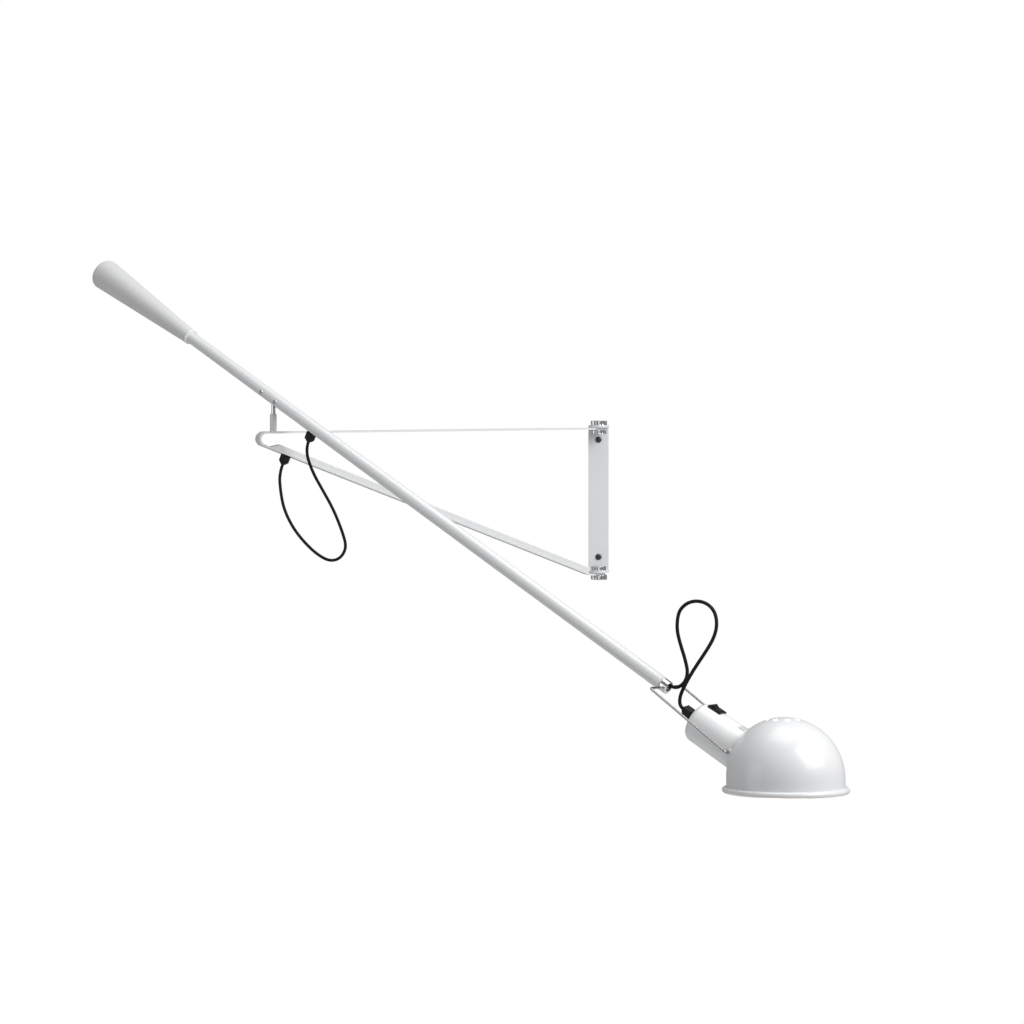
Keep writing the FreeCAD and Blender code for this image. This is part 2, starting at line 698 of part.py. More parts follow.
def weight_screw():
    """Grub screw under the cone that clamps it on the tube."""
    place = X * (-WEIGHT_FRONT - WEIGHT_SCREW_REACH)
    taper = (WEIGHT_LARGE - WEIGHT_SMALL) / 2 * WEIGHT_SCREW_REACH / WEIGHT_LENGTH
    outside = WEIGHT_SMALL / 2 + taper
    inside = TUBE / 2 - TUBE_WALL
    screw = rod(WEIGHT_SCREW, outside - inside - SEAT, place - Z * inside, -Z)
    return screw.cut(hexagon(WEIGHT_SOCKET, SOCKET_DEPTH, place - Z * (outside - SEAT), Z))


def end_bush():
    """Flanged bush in the front of the tube that carries the knuckle's spigot."""
    bush = joined(rod(arm_bore() - 2 * FIXED, SPIGOT_LENGTH - END_BUSH_FLANGE, X * TUBE_FRONT, -X),
                  rod(TUBE - 2 * CAP_EDGE, END_BUSH_FLANGE, X * TUBE_FRONT, X))
    return bush.cut(rod(SPIGOT + 2 * RUNNING, 3 * SPIGOT_LENGTH, X * (TUBE_FRONT - 2 * SPIGOT_LENGTH), X))


# ---------------------------------------------------------------- knuckle, in the KNUCKLE frame
def knuckle_back():
    """Rear shoulder of the knuckle, just ahead of the end bush."""
    return TUBE_FRONT + END_BUSH_FLANGE + HIDDEN_GAP / 2 - KNUCKLE_REACH


def knuckle():
    back = knuckle_back()
    body = rod(KNUCKLE, KNUCKLE_NOSE - back, X * back, X)
    body = body.makeChamfer(CAP_EDGE, circles(body))
    spigot_back = back - SPIGOT_LENGTH - LOCK_RING_THICK - 2 * HIDDEN_GAP
    body = joined(body, rod(SPIGOT, back - spigot_back, X * spigot_back, X))
    body = body.cut(rod(KNUCKLE_BORE, KNUCKLE, Vector(-KNUCKLE_BORE_BACK, 0, KNUCKLE_BORE_RAISE), X))
    body = body.cut(rod(SPIGOT_BORE, KNUCKLE * 4, X * (spigot_back - BEYOND), X))
    body = body.cut(rod(WIRE + 2 * RUNNING, KNUCKLE, Vector(0, -KNUCKLE / 2, -WIRE_DROP), Y))
    body = body.cut(rod(GRUB + 2 * FIXED, KNUCKLE, -Z * WIRE_DROP, -Z))
    floor = SPIGOT - 2 * RING_GROOVE_DEPTH
    return body.cut(ring(SPIGOT + BEYOND, floor, LOCK_RING_THICK + HIDDEN_GAP, X * ring_place(), X))


def ring_place():
    return knuckle_back() - SPIGOT_LENGTH - LOCK_RING_THICK - HIDDEN_GAP * 1.5


def lock_ring():
    """Split ring in the spigot's groove, behind the end bush."""
    inner = SPIGOT - 2 * RING_GROOVE_DEPTH + 2 * RUNNING
    body = ring(LOCK_RING, inner, LOCK_RING_THICK, X * (ring_place() + HIDDEN_GAP / 2), X)
    half = LOCK_RING_SPLIT / 2
    return body.cut(block(Vector(-KNUCKLE * 3, -half, 0), Vector(0, half, KNUCKLE)))


def knuckle_grub():
    """Grub screw below, which sets the friction of the fork's cross wire."""
    top = -WIRE_DROP - WIRE / 2 - SEAT
    length = top + KNUCKLE / 2 - HIDDEN_GAP
    screw = rod(GRUB, length, Z * top, -Z)
    return screw.cut(hexagon(KNUCKLE_SOCKET, SOCKET_DEPTH, Z * (top - length), Z))


# ---------------------------------------------------------------- fork, in the FORK frame
def fork():
    """One bent wire: cross wire, two legs, and two toes turned into the housing's bosses."""
    half = FORK_WIDTH / 2
    toe = half - WIRE_TOE
    points = [Vector(FORK_LENGTH, -toe, 0), Vector(FORK_LENGTH, -half, 0), Vector(0, -half, 0),
              Vector(0, half, 0), Vector(FORK_LENGTH, half, 0), Vector(FORK_LENGTH, toe, 0)]
    return tube_along(rounded_path(points, [WIRE_BEND] * 4), WIRE)


# ---------------------------------------------------------------- head, in the HEAD frame
def housing_radius(along):
    """Outside radius of the slightly tapered housing at a place along its axis."""
    share = (along + HOUSING_BACK) / HOUSING_BACK
    return HOUSING_BACK_RADIUS + (HOUSING_FRONT_RADIUS - HOUSING_BACK_RADIUS) * share


def dome(radius):
    return Part.makeSphere(radius, DOME_CENTRE)


def housing_profile(inset, round_radius):
    """Closed tapered body with a rounded back, inset from the outside by a wall."""
    back = -HOUSING_BACK + inset
    front = SHADE_AHEAD
    large = housing_radius(front) - inset
    body = spun([(back, 0), (back, housing_radius(back) - inset), (front, large), (front, 0)])
    return body.makeFillet(round_radius, round_edges(body, back))


def housing():
    """Spun cup with a rounded closed back, vents, switch opening, pivot bosses and a gland hole."""
    reach = FORK_WIDTH / 2 - WIRE_BEND - SEAT
    outer = housing_profile(0, HOUSING_ROUND).fuse(rod(2 * BOSS_RADIUS, 2 * reach, Y * -reach, Y))
    shell = outer.cut(housing_profile(HOUSING_WALL, HOUSING_ROUND - HOUSING_WALL))
    shell = shell.cut(dome(SHADE_RADIUS + HIDDEN_GAP / 2))
    shell = shell.cut(rod(WIRE + 2 * RUNNING, 2 * FORK_WIDTH, Y * -FORK_WIDTH, Y))
    shell = shell.cut(rod(GLAND_SHANK + 2 * FIXED, HOUSING_ROUND, head_gland_place(), X))
    for cutter in vents():
        shell = shell.cut(cutter)
    return shell.cut(switch_opening(FIXED))


def vents():
    cutters = []
    for number in range(VENT_COUNT):
        angle = (number - (VENT_COUNT - 1) / 2) * VENT_STEP
        slot = block(Vector(VENT_CENTRE - VENT_LENGTH / 2, -VENT_WIDTH / 2, HOUSING_FRONT_RADIUS / 2),
                     Vector(VENT_CENTRE + VENT_LENGTH / 2, VENT_WIDTH / 2, HOUSING_FRONT_RADIUS * 1.2))
        slot.Placement = turned(ORIGIN, X, angle)
        cutters.append(slot)
    return cutters


def head_gland_place():
    return Vector(-HOUSING_BACK, 0, HEAD_GLAND_RAISE)


def head_gland():
    """Gland on a round collar at the back of the housing."""
    base = head_gland_place() - X * HEAD_GLAND_COLLAR
    shank = HEAD_GLAND_COLLAR + HOUSING_WALL + LOCKNUT_THICK + SEAT
    collar = ring(GLAND_FLATS, GLAND_SHANK, HEAD_GLAND_COLLAR, base, X)
    return joined(gland(base, -X, shank), collar)


def head_gland_nut():
    return locknut(head_gland_place() + X * HOUSING_WALL, -X, LOCKNUT_FLATS, FIXED)


# ---- switch: its seat stands on the housing's top line
def switch_seat():
    """Height of the bezel's underside: the housing's outside, where the bezel's long edge meets it."""
    radius = housing_radius(SWITCH_CENTRE)
    return math.sqrt(radius ** 2 - (SWITCH_WIDTH / 2 - SWITCH_RIM) ** 2)


def switch_opening(gap):
    half_length = SWITCH_LENGTH / 2 - SWITCH_RIM + gap
    half_width = SWITCH_WIDTH / 2 - SWITCH_RIM + gap
    floor = switch_seat() - SWITCH_BODY_DEPTH - BEYOND
    return block(Vector(SWITCH_CENTRE - half_length, -half_width, floor),
                 Vector(SWITCH_CENTRE + half_length, half_width, HOUSING_FRONT_RADIUS * 2))


def switch_body():
    """Snap-in switch case with a bezel, open on top for the rocker."""
    seat = switch_seat()
    radius = housing_radius(SWITCH_CENTRE)
    top = radius + SWITCH_BEZEL
    half_width = SWITCH_WIDTH / 2
    bezel = switch_block(0, seat, top).cut(housing_profile(0, HOUSING_ROUND))
    case = switch_block(SWITCH_RIM, seat - SWITCH_BODY_DEPTH, top)
    well = switch_block(SWITCH_RIM + SWITCH_WALL, top - ROCKER_DEPTH - ROCKER_ROOM, top + BEYOND)
    body = joined(bezel, case).cut(well)
    reach = half_width - SWITCH_RIM - PIN_LEDGE
    return body.cut(rod(ROCKER_PIN + 2 * RUNNING, 2 * reach, rocker_axis() - Y * reach, Y))


def switch_block(inset, low, high):
    """Block inside the bezel's outline, in from it by the inset."""
    length = SWITCH_LENGTH / 2 - inset
    width = SWITCH_WIDTH / 2 - inset
    return block(Vector(SWITCH_CENTRE - length, -width, low), Vector(SWITCH_CENTRE + length, width, high))


def rocker_axis():
    return Vector(SWITCH_CENTRE, 0, housing_radius(SWITCH_CENTRE) + SWITCH_BEZEL - ROCKER_SINK)


def rocker():
    """See-saw key: two faces that meet in a shallow V, tipped so that its back end stands up."""
    wall = SWITCH_RIM + SWITCH_WALL
    half_length = SWITCH_LENGTH / 2 - wall - ROCKER_END_GAP
    half_width = SWITCH_WIDTH / 2 - wall - HIDDEN_GAP
    under = half_length * ROCKER_TAPER
    outline = [(-half_length, ROCKER_TOP), (0, ROCKER_VALLEY), (half_length, ROCKER_TOP),
               (under, -ROCKER_SIDE_DEPTH), (0, -ROCKER_DEPTH * ROCKER_KEEL), (-under, -ROCKER_SIDE_DEPTH)]
    points = [Vector(along, -half_width, height) for along, height in outline]
    key = Part.Face(Part.makePolygon(points + points[:1])).extrude(Y * 2 * half_width)
    pin_half = SWITCH_WIDTH / 2 - SWITCH_RIM - PIN_LEDGE - HIDDEN_GAP
    key = joined(key, rod(ROCKER_PIN, 2 * pin_half, Y * -pin_half, Y))
    key.Placement = turned(rocker_axis(), Y, ROCKER_REST)
    return key


# ---- shade, in the SHADE frame: +Z is the dome's crown
def shade():
    skirt_low = -SHADE_SKIRT
    bead = RIM_BEAD / 2
    bead_centre = RIM_OUTER / 2 - bead
    outside = joined(Part.makeSphere(SHADE_RADIUS, ORIGIN, Z, 0, 90, 360),
                     rod(2 * SHADE_RADIUS, SHADE_SKIRT, Z * skirt_low))
    inner = SHADE_RADIUS - SHADE_WALL
    inside = joined(Part.makeSphere(inner, ORIGIN, Z, 0, 90, 360),
                    rod(2 * inner, SHADE_SKIRT, Z * skirt_low))
    shell = outside.cut(inside)
    rim = Part.makeTorus(bead_centre, bead, Z * skirt_low)
    shell = joined(shell, rim)
    for number in range(CROWN_HOLES):
        angle = math.radians(360 * number / CROWN_HOLES + ARM_OUT)
        foot = Vector(math.cos(angle), math.sin(angle), 0) * CROWN_RADIUS
        shell = shell.cut(rod(CROWN_HOLE, SHADE_RADIUS, foot + Z * SHADE_RADIUS / 2))
    return shell


def holder_opening(gap):
    """Round opening in the shade's side for the lampholder, in the HEAD frame."""
    return rod(2 * (HOLDER_RADIUS + gap), SHADE_RADIUS, X * -SHADE_RADIUS / 2, X)


def cut_shade():
    body = placed(shade(), SHADE)
    return body.cut(placed(holder_opening(FIXED), HEAD))


def shade_ring():
    """Threaded ring on the lampholder that clamps the shade from inside."""
    body = ring(2 * SHADE_RING_OUTER, 2 * (HOLDER_RADIUS + FIXED), SHADE_RING_THICK, X * ring_seat(), X)
    return body.common(dome(SHADE_RADIUS - SHADE_WALL - HIDDEN_GAP / 2))


def ring_seat():
    inner = SHADE_RADIUS - SHADE_WALL
    return SHADE_AHEAD - math.sqrt(inner ** 2 - (SHADE_RING_OUTER - SHADE_RING_BITE) ** 2)


# ---- lampholder and bulb
def lampholder():
    back = -HOLDER_BACK
    body = rod(2 * HOLDER_RADIUS, HOLDER_FRONT + HOLDER_BACK, X * back, X)
    flange = HOLDER_FLANGE_PLACE - HOLDER_FLANGE_THICK
    flange_radius = housing_radius(flange) - HOUSING_WALL - HIDDEN_GAP
    body = joined(body, rod(2 * flange_radius, HOLDER_FLANGE_THICK, X * flange, X))
    body = body.cut(rod(2 * HOLDER_BORE, HOLDER_FRONT + HOLDER_BACK, X * (back + HOLDER_FLOOR), X))
    return body.cut(rod(CONTACT + 2 * FIXED, HOLDER_FLOOR, X * back, X))


def screw_shell():
    """Sheet brass thread shell of the lampholder."""
    outer = HOLDER_BORE - FIXED
    length = HOLDER_FRONT + HOLDER_BACK - HOLDER_FLOOR - SHELL_SHORT
    return ring(2 * outer, 2 * (outer - SHELL_WALL), length, X * (HOLDER_FLOOR - HOLDER_BACK), X)


def centre_contact():
    return rod(CONTACT, bulb_tip() - HIDDEN_GAP / 2 + HOLDER_BACK, X * -HOLDER_BACK, X)


def bulb_cap():
    """Screw cap of the bulb, with its insulator and tip."""
    tip = bulb_tip()
    return spun([(tip, 0), (tip, BULB_TIP_RADIUS), (tip + BULB_TIP_RISE, BULB_CAP_RADIUS - BULB_CAP_BEVEL),
                 (tip + BULB_CAP_RISE, BULB_CAP_RADIUS), (tip + BULB_CAP_LENGTH, BULB_CAP_RADIUS),
                 (tip + BULB_CAP_LENGTH, 0)])


def bulb_tip():
    """Contact end of the bulb, along the housing's axis."""
    return BULB_CENTRE + BULB_RADIUS - BULB_LENGTH


def bulb_glass():
    """Closed glass envelope: globe, flowing neck, and a foot that sits on the cap."""
    foot = bulb_tip() + BULB_CAP_LENGTH
    return bulb_form(0, foot).cut(bulb_form(BULB_WALL, foot + BULB_WALL))


def bulb_form(inset, foot):
    radius = BULB_RADIUS - inset
    neck = BULB_CAP_RADIUS - inset
    shoulder = math.radians(BULB_SHOULDER)
    meet = Vector(BULB_CENTRE + radius * math.cos(shoulder), 0, radius * math.sin(shoulder))
    pole = Vector(BULB_CENTRE + radius, 0, 0)
    middle = Vector(BULB_CENTRE, 0, radius)
    start = Vector(foot, 0, neck)
    edges = [Part.LineSegment(Vector(foot, 0, 0), start).toShape(),
             Part.LineSegment(start, meet).toShape(),
             Part.Arc(meet, middle, pole).toShape(),
             Part.LineSegment(pole, Vector(foot, 0, 0)).toShape()]
    return Part.Face(Part.Wire(edges)).revolve(ORIGIN, X, 360)


# ---------------------------------------------------------------- free cords
# Each loop is one cord in two halves that meet halfway along a straight run. The inner points of
# the first loop are offsets from the tilt axis, those of the second from the fork's cross wire.
ARM_LOOP_FALL = [(9, 2, -122), (14, -1, -147), (27, -5, -172), (44, -9, -192), (60, -12, -206),
                 (76, -15, -214), (90, -18, -210), (98, -19, -196), (94, -21, -178)]
ARM_LOOP_RISE = [(82, -26, -146), (68, -30, -120), (55, -34, -96)]
HEAD_LOOP_RISE = [(19, -8, 4), (24, -6, 16), (21, -4, 31), (16, -3, 47), (12, -3, 62), (12, -4, 76),
                  (15, -6, 88), (26, -9, 97)]
HEAD_LOOP_FALL = [(41, -13, 97), (52, -16, 88), (55, -19, 74), (52, -22, 60), (44, -24, 46), (34, -23, 31),
                  (25, -20, 16), (18, -17, 2), (14, -13, -9)]
MOUTH_RAISE = 3.75        # cord in the knuckle's mouth, above the cross wire
MOUTH_START = (-KNUCKLE_BORE_BACK, 0, MOUTH_RAISE)
MOUTH_END = (9.0, 0, MOUTH_RAISE)
ARC_SHARE = 0.45          # of the shorter run, taken up by an arc at a corner


def from_joint(frame, offsets):
    return [frame.Base + Vector(*offset) for offset in offsets]


def lead_out(frame, point, out, length):
    """A gland's mouth and the end of the straight run that leaves it."""
    start = frame.multVec(point)
    return [start, start + frame.Rotation.multVec(out) * length]


def arm_loop():
    down = lower_run_axes()
    bracket_end = along_lower_run(gland_place(), -STRIP_THICK / 2) + down * gland_length()
    arm_end = Vector(ARM_GLAND_REACH, 0, -TUBE / 2 - gland_length())
    fall = lead_out(BRACKET, bracket_end, down, CORD_LEAD_OUT) + from_joint(SWIVEL, ARM_LOOP_FALL)
    rise = from_joint(SWIVEL, ARM_LOOP_RISE) + lead_out(ARM, arm_end, -Z, CORD_LEAD_OUT)[::-1]
    return fall, rise


def head_loop():
    rise = [FORK.multVec(Vector(*MOUTH_START)), FORK.multVec(Vector(*MOUTH_END))]
    mouth = head_gland_place() - X * (HEAD_GLAND_COLLAR + gland_length())
    fall = lead_out(HEAD, mouth, -X, CORD_SHORT_LEAD_OUT)[::-1]
    return rise + from_joint(FORK, HEAD_LOOP_RISE), from_joint(FORK, HEAD_LOOP_FALL) + fall


def cord_half(loop, first):
    """One half of a loop, cut at the middle of the run that joins its two lists of points."""
    rise, fall = loop
    middle = (rise[-1] + fall[0]) * 0.5
    return cord(rise + [middle] if first else [middle] + fall)


def cord(points):
    radii = []
    for before, corner, after in zip(points, points[1:], points[2:]):
        turn = (corner - before).getAngle(after - corner)
        shorter = min((corner - before).Length, (after - corner).Length)
        radii.append(ARC_SHARE * shorter / math.tan(turn / 2))
    wire = rounded_path(points, radii)
    solid = tube_along(wire, CORD)
    section = math.pi * CORD ** 2 / 4
    print("cord length %.1f, radii %s, volume ratio %.4f"
          % (wire.Length, [round(radius, 1) for radius in radii], solid.Volume / (section * wire.Length)))
    return solid


# ---------------------------------------------------------------- assembly
def nodes():
    world = Placement()
    return {
        "wall_plate": (wall_plate, world),
        "pivot_screw_top": (pivot_screw_top, world),
        "pivot_screw_bottom": (pivot_screw_bottom, world),
        "pivot_nut_top": (pivot_nut_top, world),
        "pivot_nut_bottom": (pivot_nut_bottom, world),
        "pivot_washers": (pivot_washers, world),
        "bracket_strip": (bracket_strip, BRACKET),
        "cable_channel": (channel, BRACKET),
        "channel_lead": (channel_lead, BRACKET),
        "bracket_gland": (bracket_gland, BRACKET),
        "bracket_gland_nut": (bracket_gland_nut, BRACKET),
        "swivel_post": (swivel_post, BRACKET),
        "post_screw": (post_screw, BRACKET),
        "post_bush": (post_bush, BRACKET),
        "post_grub_screw": (post_grub, BRACKET),
        "swivel_stem": (stem, SWIVEL),
        "arm_tube": (arm_tube, ARM),
        "arm_saddle": (saddle, ARM),
        "tilt_pin": (tilt_pin, ARM),
        "saddle_screws": (saddle_screws, ARM),
        "arm_gland": (arm_gland, ARM),
        "arm_lead": (arm_lead, ARM),
        "counterweight": (counterweight, ARM),
        "weight_grub_screw": (weight_screw, ARM),
        "end_bush": (end_bush, ARM),
        "knuckle": (knuckle, KNUCKLE_FRAME),
        "knuckle_lock_ring": (lock_ring, KNUCKLE_FRAME),
        "knuckle_grub_screw": (knuckle_grub, KNUCKLE_FRAME),
        "wire_fork": (fork, FORK),
        "lamp_housing": (housing, HEAD),
        "head_gland": (head_gland, HEAD),
        "head_gland_nut": (head_gland_nut, HEAD),
        "switch_body": (switch_body, HEAD),
        "switch_rocker": (rocker, HEAD),
        "shade": (cut_shade, world),
        "shade_ring": (shade_ring, HEAD),
        "lampholder": (lampholder, HEAD),
        "screw_shell": (screw_shell, HEAD),
        "centre_contact": (centre_contact, HEAD),
        "bulb_cap": (bulb_cap, HEAD),
        "bulb_glass": (bulb_glass, HEAD),
        "arm_cord_fall": (lambda: cord_half(arm_loop(), True), world),
        "arm_cord_rise": (lambda: cord_half(arm_loop(), False), world),
        "head_cord_rise": (lambda: cord_half(head_loop(), True), world),
        "head_cord_fall": (lambda: cord_half(head_loop(), False), world),
    }


def build():
    os.makedirs("parts", exist_ok=True)
    for name, (make, frame) in nodes().items():
        shape = placed(make(), frame)
        shape.exportStep("parts/%s.step" % name)
        print("%-20s solids %d volume %.1f" % (name, len(shape.Solids), shape.Volume), shape.isValid())


build()
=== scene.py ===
"""Wall lamp: a swinging bracket, a counterweighted arm and a domed head in a wire fork."""

import json
import logging
import math
from dataclasses import dataclass, field
from enum import Enum
from typing import Optional, Sequence, Union

import bmesh
import bpy
from mathutils import Matrix, Vector

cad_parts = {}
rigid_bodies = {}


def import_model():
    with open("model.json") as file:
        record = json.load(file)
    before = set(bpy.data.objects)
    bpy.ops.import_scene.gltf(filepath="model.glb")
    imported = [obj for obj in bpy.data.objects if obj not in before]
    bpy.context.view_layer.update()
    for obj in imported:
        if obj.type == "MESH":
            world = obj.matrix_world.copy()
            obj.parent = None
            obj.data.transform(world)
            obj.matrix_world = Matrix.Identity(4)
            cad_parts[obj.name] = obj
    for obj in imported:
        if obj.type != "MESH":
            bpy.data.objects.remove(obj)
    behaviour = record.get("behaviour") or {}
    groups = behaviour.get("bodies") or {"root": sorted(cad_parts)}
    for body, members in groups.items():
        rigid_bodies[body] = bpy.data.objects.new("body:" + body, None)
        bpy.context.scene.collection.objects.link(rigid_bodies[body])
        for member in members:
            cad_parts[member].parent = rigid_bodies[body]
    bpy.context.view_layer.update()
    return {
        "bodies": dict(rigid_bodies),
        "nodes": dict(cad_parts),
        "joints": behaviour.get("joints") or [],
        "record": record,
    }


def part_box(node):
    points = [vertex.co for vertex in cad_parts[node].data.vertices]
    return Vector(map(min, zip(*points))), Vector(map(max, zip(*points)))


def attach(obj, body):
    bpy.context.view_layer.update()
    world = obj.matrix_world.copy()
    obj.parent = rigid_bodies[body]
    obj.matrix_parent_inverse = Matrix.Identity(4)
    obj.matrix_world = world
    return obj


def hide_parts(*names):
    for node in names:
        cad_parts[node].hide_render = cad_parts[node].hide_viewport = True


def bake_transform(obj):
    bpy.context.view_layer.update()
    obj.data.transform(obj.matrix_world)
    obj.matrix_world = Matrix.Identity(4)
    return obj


LOG = logging.getLogger("wall_lamp")
MM = 0.001
TINY = 0.01 * MM        # offset that keeps two rings of a turned skin apart
WELD = 1e-7             # points nearer than this are one point
SMOOTH_ANGLE = 35.0     # degrees; sharper edges stay crisp
Number = Union[float, int]
Point = tuple[float, float, float]


class Body(str, Enum):
    """The rigid bodies that pieces ride on."""

    WALL_MOUNT = "wall_mount"
    BRACKET = "bracket"
    SWIVEL = "swivel"
    ARM = "arm"
    KNUCKLE = "knuckle"
    FORK = "fork"
    HEAD = "head"


class Joint(str, Enum):
    """The joints whose places and axes give the pieces their frames."""

    TILT = "arm_tilt"
    ROLL = "head_roll"
    FORK = "fork_tilt"
    HEAD = "head_tilt"


# ---------------------------------------------------------------- node graphs
class Wire:
    """A value in a node tree that can be used in ordinary arithmetic."""

    def __init__(self, graph: "Graph", socket: bpy.types.NodeSocket) -> None:
        """Wraps one output socket of the graph."""
        self.graph = graph
        self.socket = socket

    def _op(self, operation: str, *values: Union["Wire", Number]) -> "Wire":
        """Adds one Math node.

        Args:
            operation: the Math node's operation.
            values: its inputs, in order.

        Returns:
            The node's result.
        """
        inputs = dict(enumerate(values))
        return self.graph.node("ShaderNodeMath", {"operation": operation}, inputs)

    def __add__(self, other: Union["Wire", Number]) -> "Wire":
        """Sum."""
        return self._op("ADD", self, other)

    __radd__ = __add__

    def __sub__(self, other: Union["Wire", Number]) -> "Wire":
        """Difference."""
        return self._op("SUBTRACT", self, other)

    def __rsub__(self, other: Number) -> "Wire":
        """Difference from a plain number."""
        return self._op("SUBTRACT", other, self)

    def __mul__(self, other: Union["Wire", Number]) -> "Wire":
        """Product."""
        return self._op("MULTIPLY", self, other)

    __rmul__ = __mul__

    def clamp(self) -> "Wire":
        """The value kept between 0 and 1."""
        return self.graph.node("ShaderNodeClamp", {}, {"Value": self})

    def step(self, low: float, high: float) -> "Wire":
        """Smooth step from 0 at low to 1 at high.

        Args:
            low: the value that gives 0.
            high: the value that gives 1.

        Returns:
            The stepped value.
        """
        settings = {"interpolation_type": "SMOOTHSTEP"}
        inputs = {"Value": self, "From Min": low, "From Max": high}
        return self.graph.node("ShaderNodeMapRange", settings, inputs)


class Graph:
    """Builds the nodes of one material."""

    def __init__(self, name: str) -> None:
        """Makes an empty material.

        Args:
            name: the material's name.
        """
        self.material = bpy.data.materials.new(name)
        self.material.use_nodes = True
        self.tree = self.material.node_tree
        self.tree.nodes.clear()
        self.output = self.tree.nodes.new("ShaderNodeOutputMaterial")

    def node(self, kind: str, settings: dict, inputs: dict, out: Union[int, str] = 0) -> Wire:
        """Adds any node.

        Args:
            kind: the node's type.
            settings: properties set before the sockets; "stops" fills a colour ramp.
            inputs: socket name or index to a value or a Wire.
            out: the output to return.

        Returns:
            The chosen output.
        """
        made = self.tree.nodes.new(kind)
        for key, value in settings.items():
            if key == "stops":
                self._fill(made.color_ramp, value)
            else:
                setattr(made, key, value)
        for key, value in inputs.items():
            socket = made.inputs[key]
            if isinstance(value, Wire):
                self.tree.links.new(value.socket, socket)
            else:
                socket.default_value = value
        return Wire(self, made.outputs[out])

    @staticmethod
    def _fill(ramp: bpy.types.ColorRamp, stops: Sequence[tuple[float, Sequence[float]]]) -> None:
        """Writes a colour ramp's stops.

        Args:
            ramp: the ramp.
            stops: place and colour of each stop, in order.
        """
        while len(ramp.elements) < len(stops):
            ramp.elements.new(0.5)
        for element, (place, colour) in zip(ramp.elements, stops):
            element.position = place
            element.color = (*colour, 1.0)

    def place(self) -> Wire:
        """Position on the piece, in metres."""
        return self.node("ShaderNodeTexCoord", {}, {}, "Object")

    def noise(self, scale: float, detail: float = 3.0, rough: float = 0.55,
              stretch: Optional[Point] = None) -> Wire:
        """Soft noise.

        Args:
            scale: features per metre.
            detail: octaves.
            rough: share kept by each octave.
            stretch: scale along each axis, if uneven.

        Returns:
            A value about 0.5.
        """
        place = self.place()
        if stretch is not None:
            place = self.node("ShaderNodeVectorMath", {"operation": "MULTIPLY"}, {0: place, 1: stretch})
        inputs = {"Vector": place, "Scale": scale, "Detail": detail, "Roughness": rough}
        return self.node("ShaderNodeTexNoise", {}, inputs)

    def mix(self, share: Union[Wire, Number], low: Union[Wire, Sequence[float]],
            high: Union[Wire, Sequence[float]]) -> Wire:
        """Mixes two colours.

        Args:
            share: 0 gives low, 1 gives high.
            low: first colour.
            high: second colour.

        Returns:
            The mixed colour.
        """
        second = high if isinstance(high, Wire) else (*high, 1.0)
        first = low if isinstance(low, Wire) else (*low, 1.0)
        return self.node("ShaderNodeMix", {"data_type": "RGBA"}, {0: share, 6: first, 7: second}, 2)

    def edges(self) -> Wire:
        """1 on convex edges, 0 on flat faces."""
        return self.node("ShaderNodeNewGeometry", {}, {}, "Pointiness").step(0.52, 0.62)

    def bump(self, height: Wire, depth: float) -> Wire:
        """Bump normal.

        Args:
            height: the height field, 0 to 1.
            depth: metres that 1 stands for.

        Returns:
            The normal.
        """
        return self.node("ShaderNodeBump", {}, {"Strength": 1.0, "Distance": depth, "Height": height})

    def surface(self, **inputs: Union[Wire, Number, Sequence[float]]) -> bpy.types.Material:
        """Ends the tree in a Principled shader.

        Args:
            inputs: socket names, with _ for a space, and their values.

        Returns:
            The finished material.
        """
        named = {key.replace("_", " "): value for key, value in inputs.items()}
        shader = self.node("ShaderNodeBsdfPrincipled", {}, named)
        self.tree.links.new(shader.socket, self.output.inputs["Surface"])
        return self.material


# ---------------------------------------------------------------- finishes
@dataclass(frozen=True)
class Paint:
    """Sprayed and baked enamel over metal: orange peel, faint dust, edges rubbed thin."""

    name: str = "white_enamel"
    colour: Point = (0.80, 0.81, 0.82)
    thin: Point = (0.66, 0.67, 0.68)
    dust: Point = (0.74, 0.73, 0.70)
    rough: float = 0.34
    peel: float = 900.0
    peel_depth: float = 0.000004
    coat: float = 0.25
    coat_rough: float = 0.12
    blotch_scale: float = 9.0
    speck_scale: float = 420.0
    film: float = 0.35
    wear: float = 0.5
    specked: float = 0.05
    broad_peel: float = 0.23
    broad_share: float = 1.6

    def make(self) -> bpy.types.Material:
        """Builds the material."""
        graph = Graph(self.name)
        blotch = graph.noise(self.blotch_scale, 4.0)
        specks = graph.noise(self.speck_scale, 2.0).step(0.66, 0.74)
        colour = graph.mix(blotch.step(0.45, 0.8) * self.film, self.colour, self.dust)
        colour = graph.mix(graph.edges() * self.wear, colour, self.thin)
        colour = graph.mix(specks * self.specked, colour, self.dust)
        broad = graph.noise(self.peel * self.broad_peel, 2.0, 0.5) * self.broad_share
        peel = graph.noise(self.peel, 2.0, 0.4) + broad
        rough = self.rough - 0.05 + blotch * 0.1 + specks * self.specked
        return graph.surface(Base_Color=colour, Roughness=rough.clamp(), Coat_Weight=self.coat,
                             Coat_Roughness=self.coat_rough, IOR=1.5,
                             Normal=graph.bump(peel, self.peel_depth))


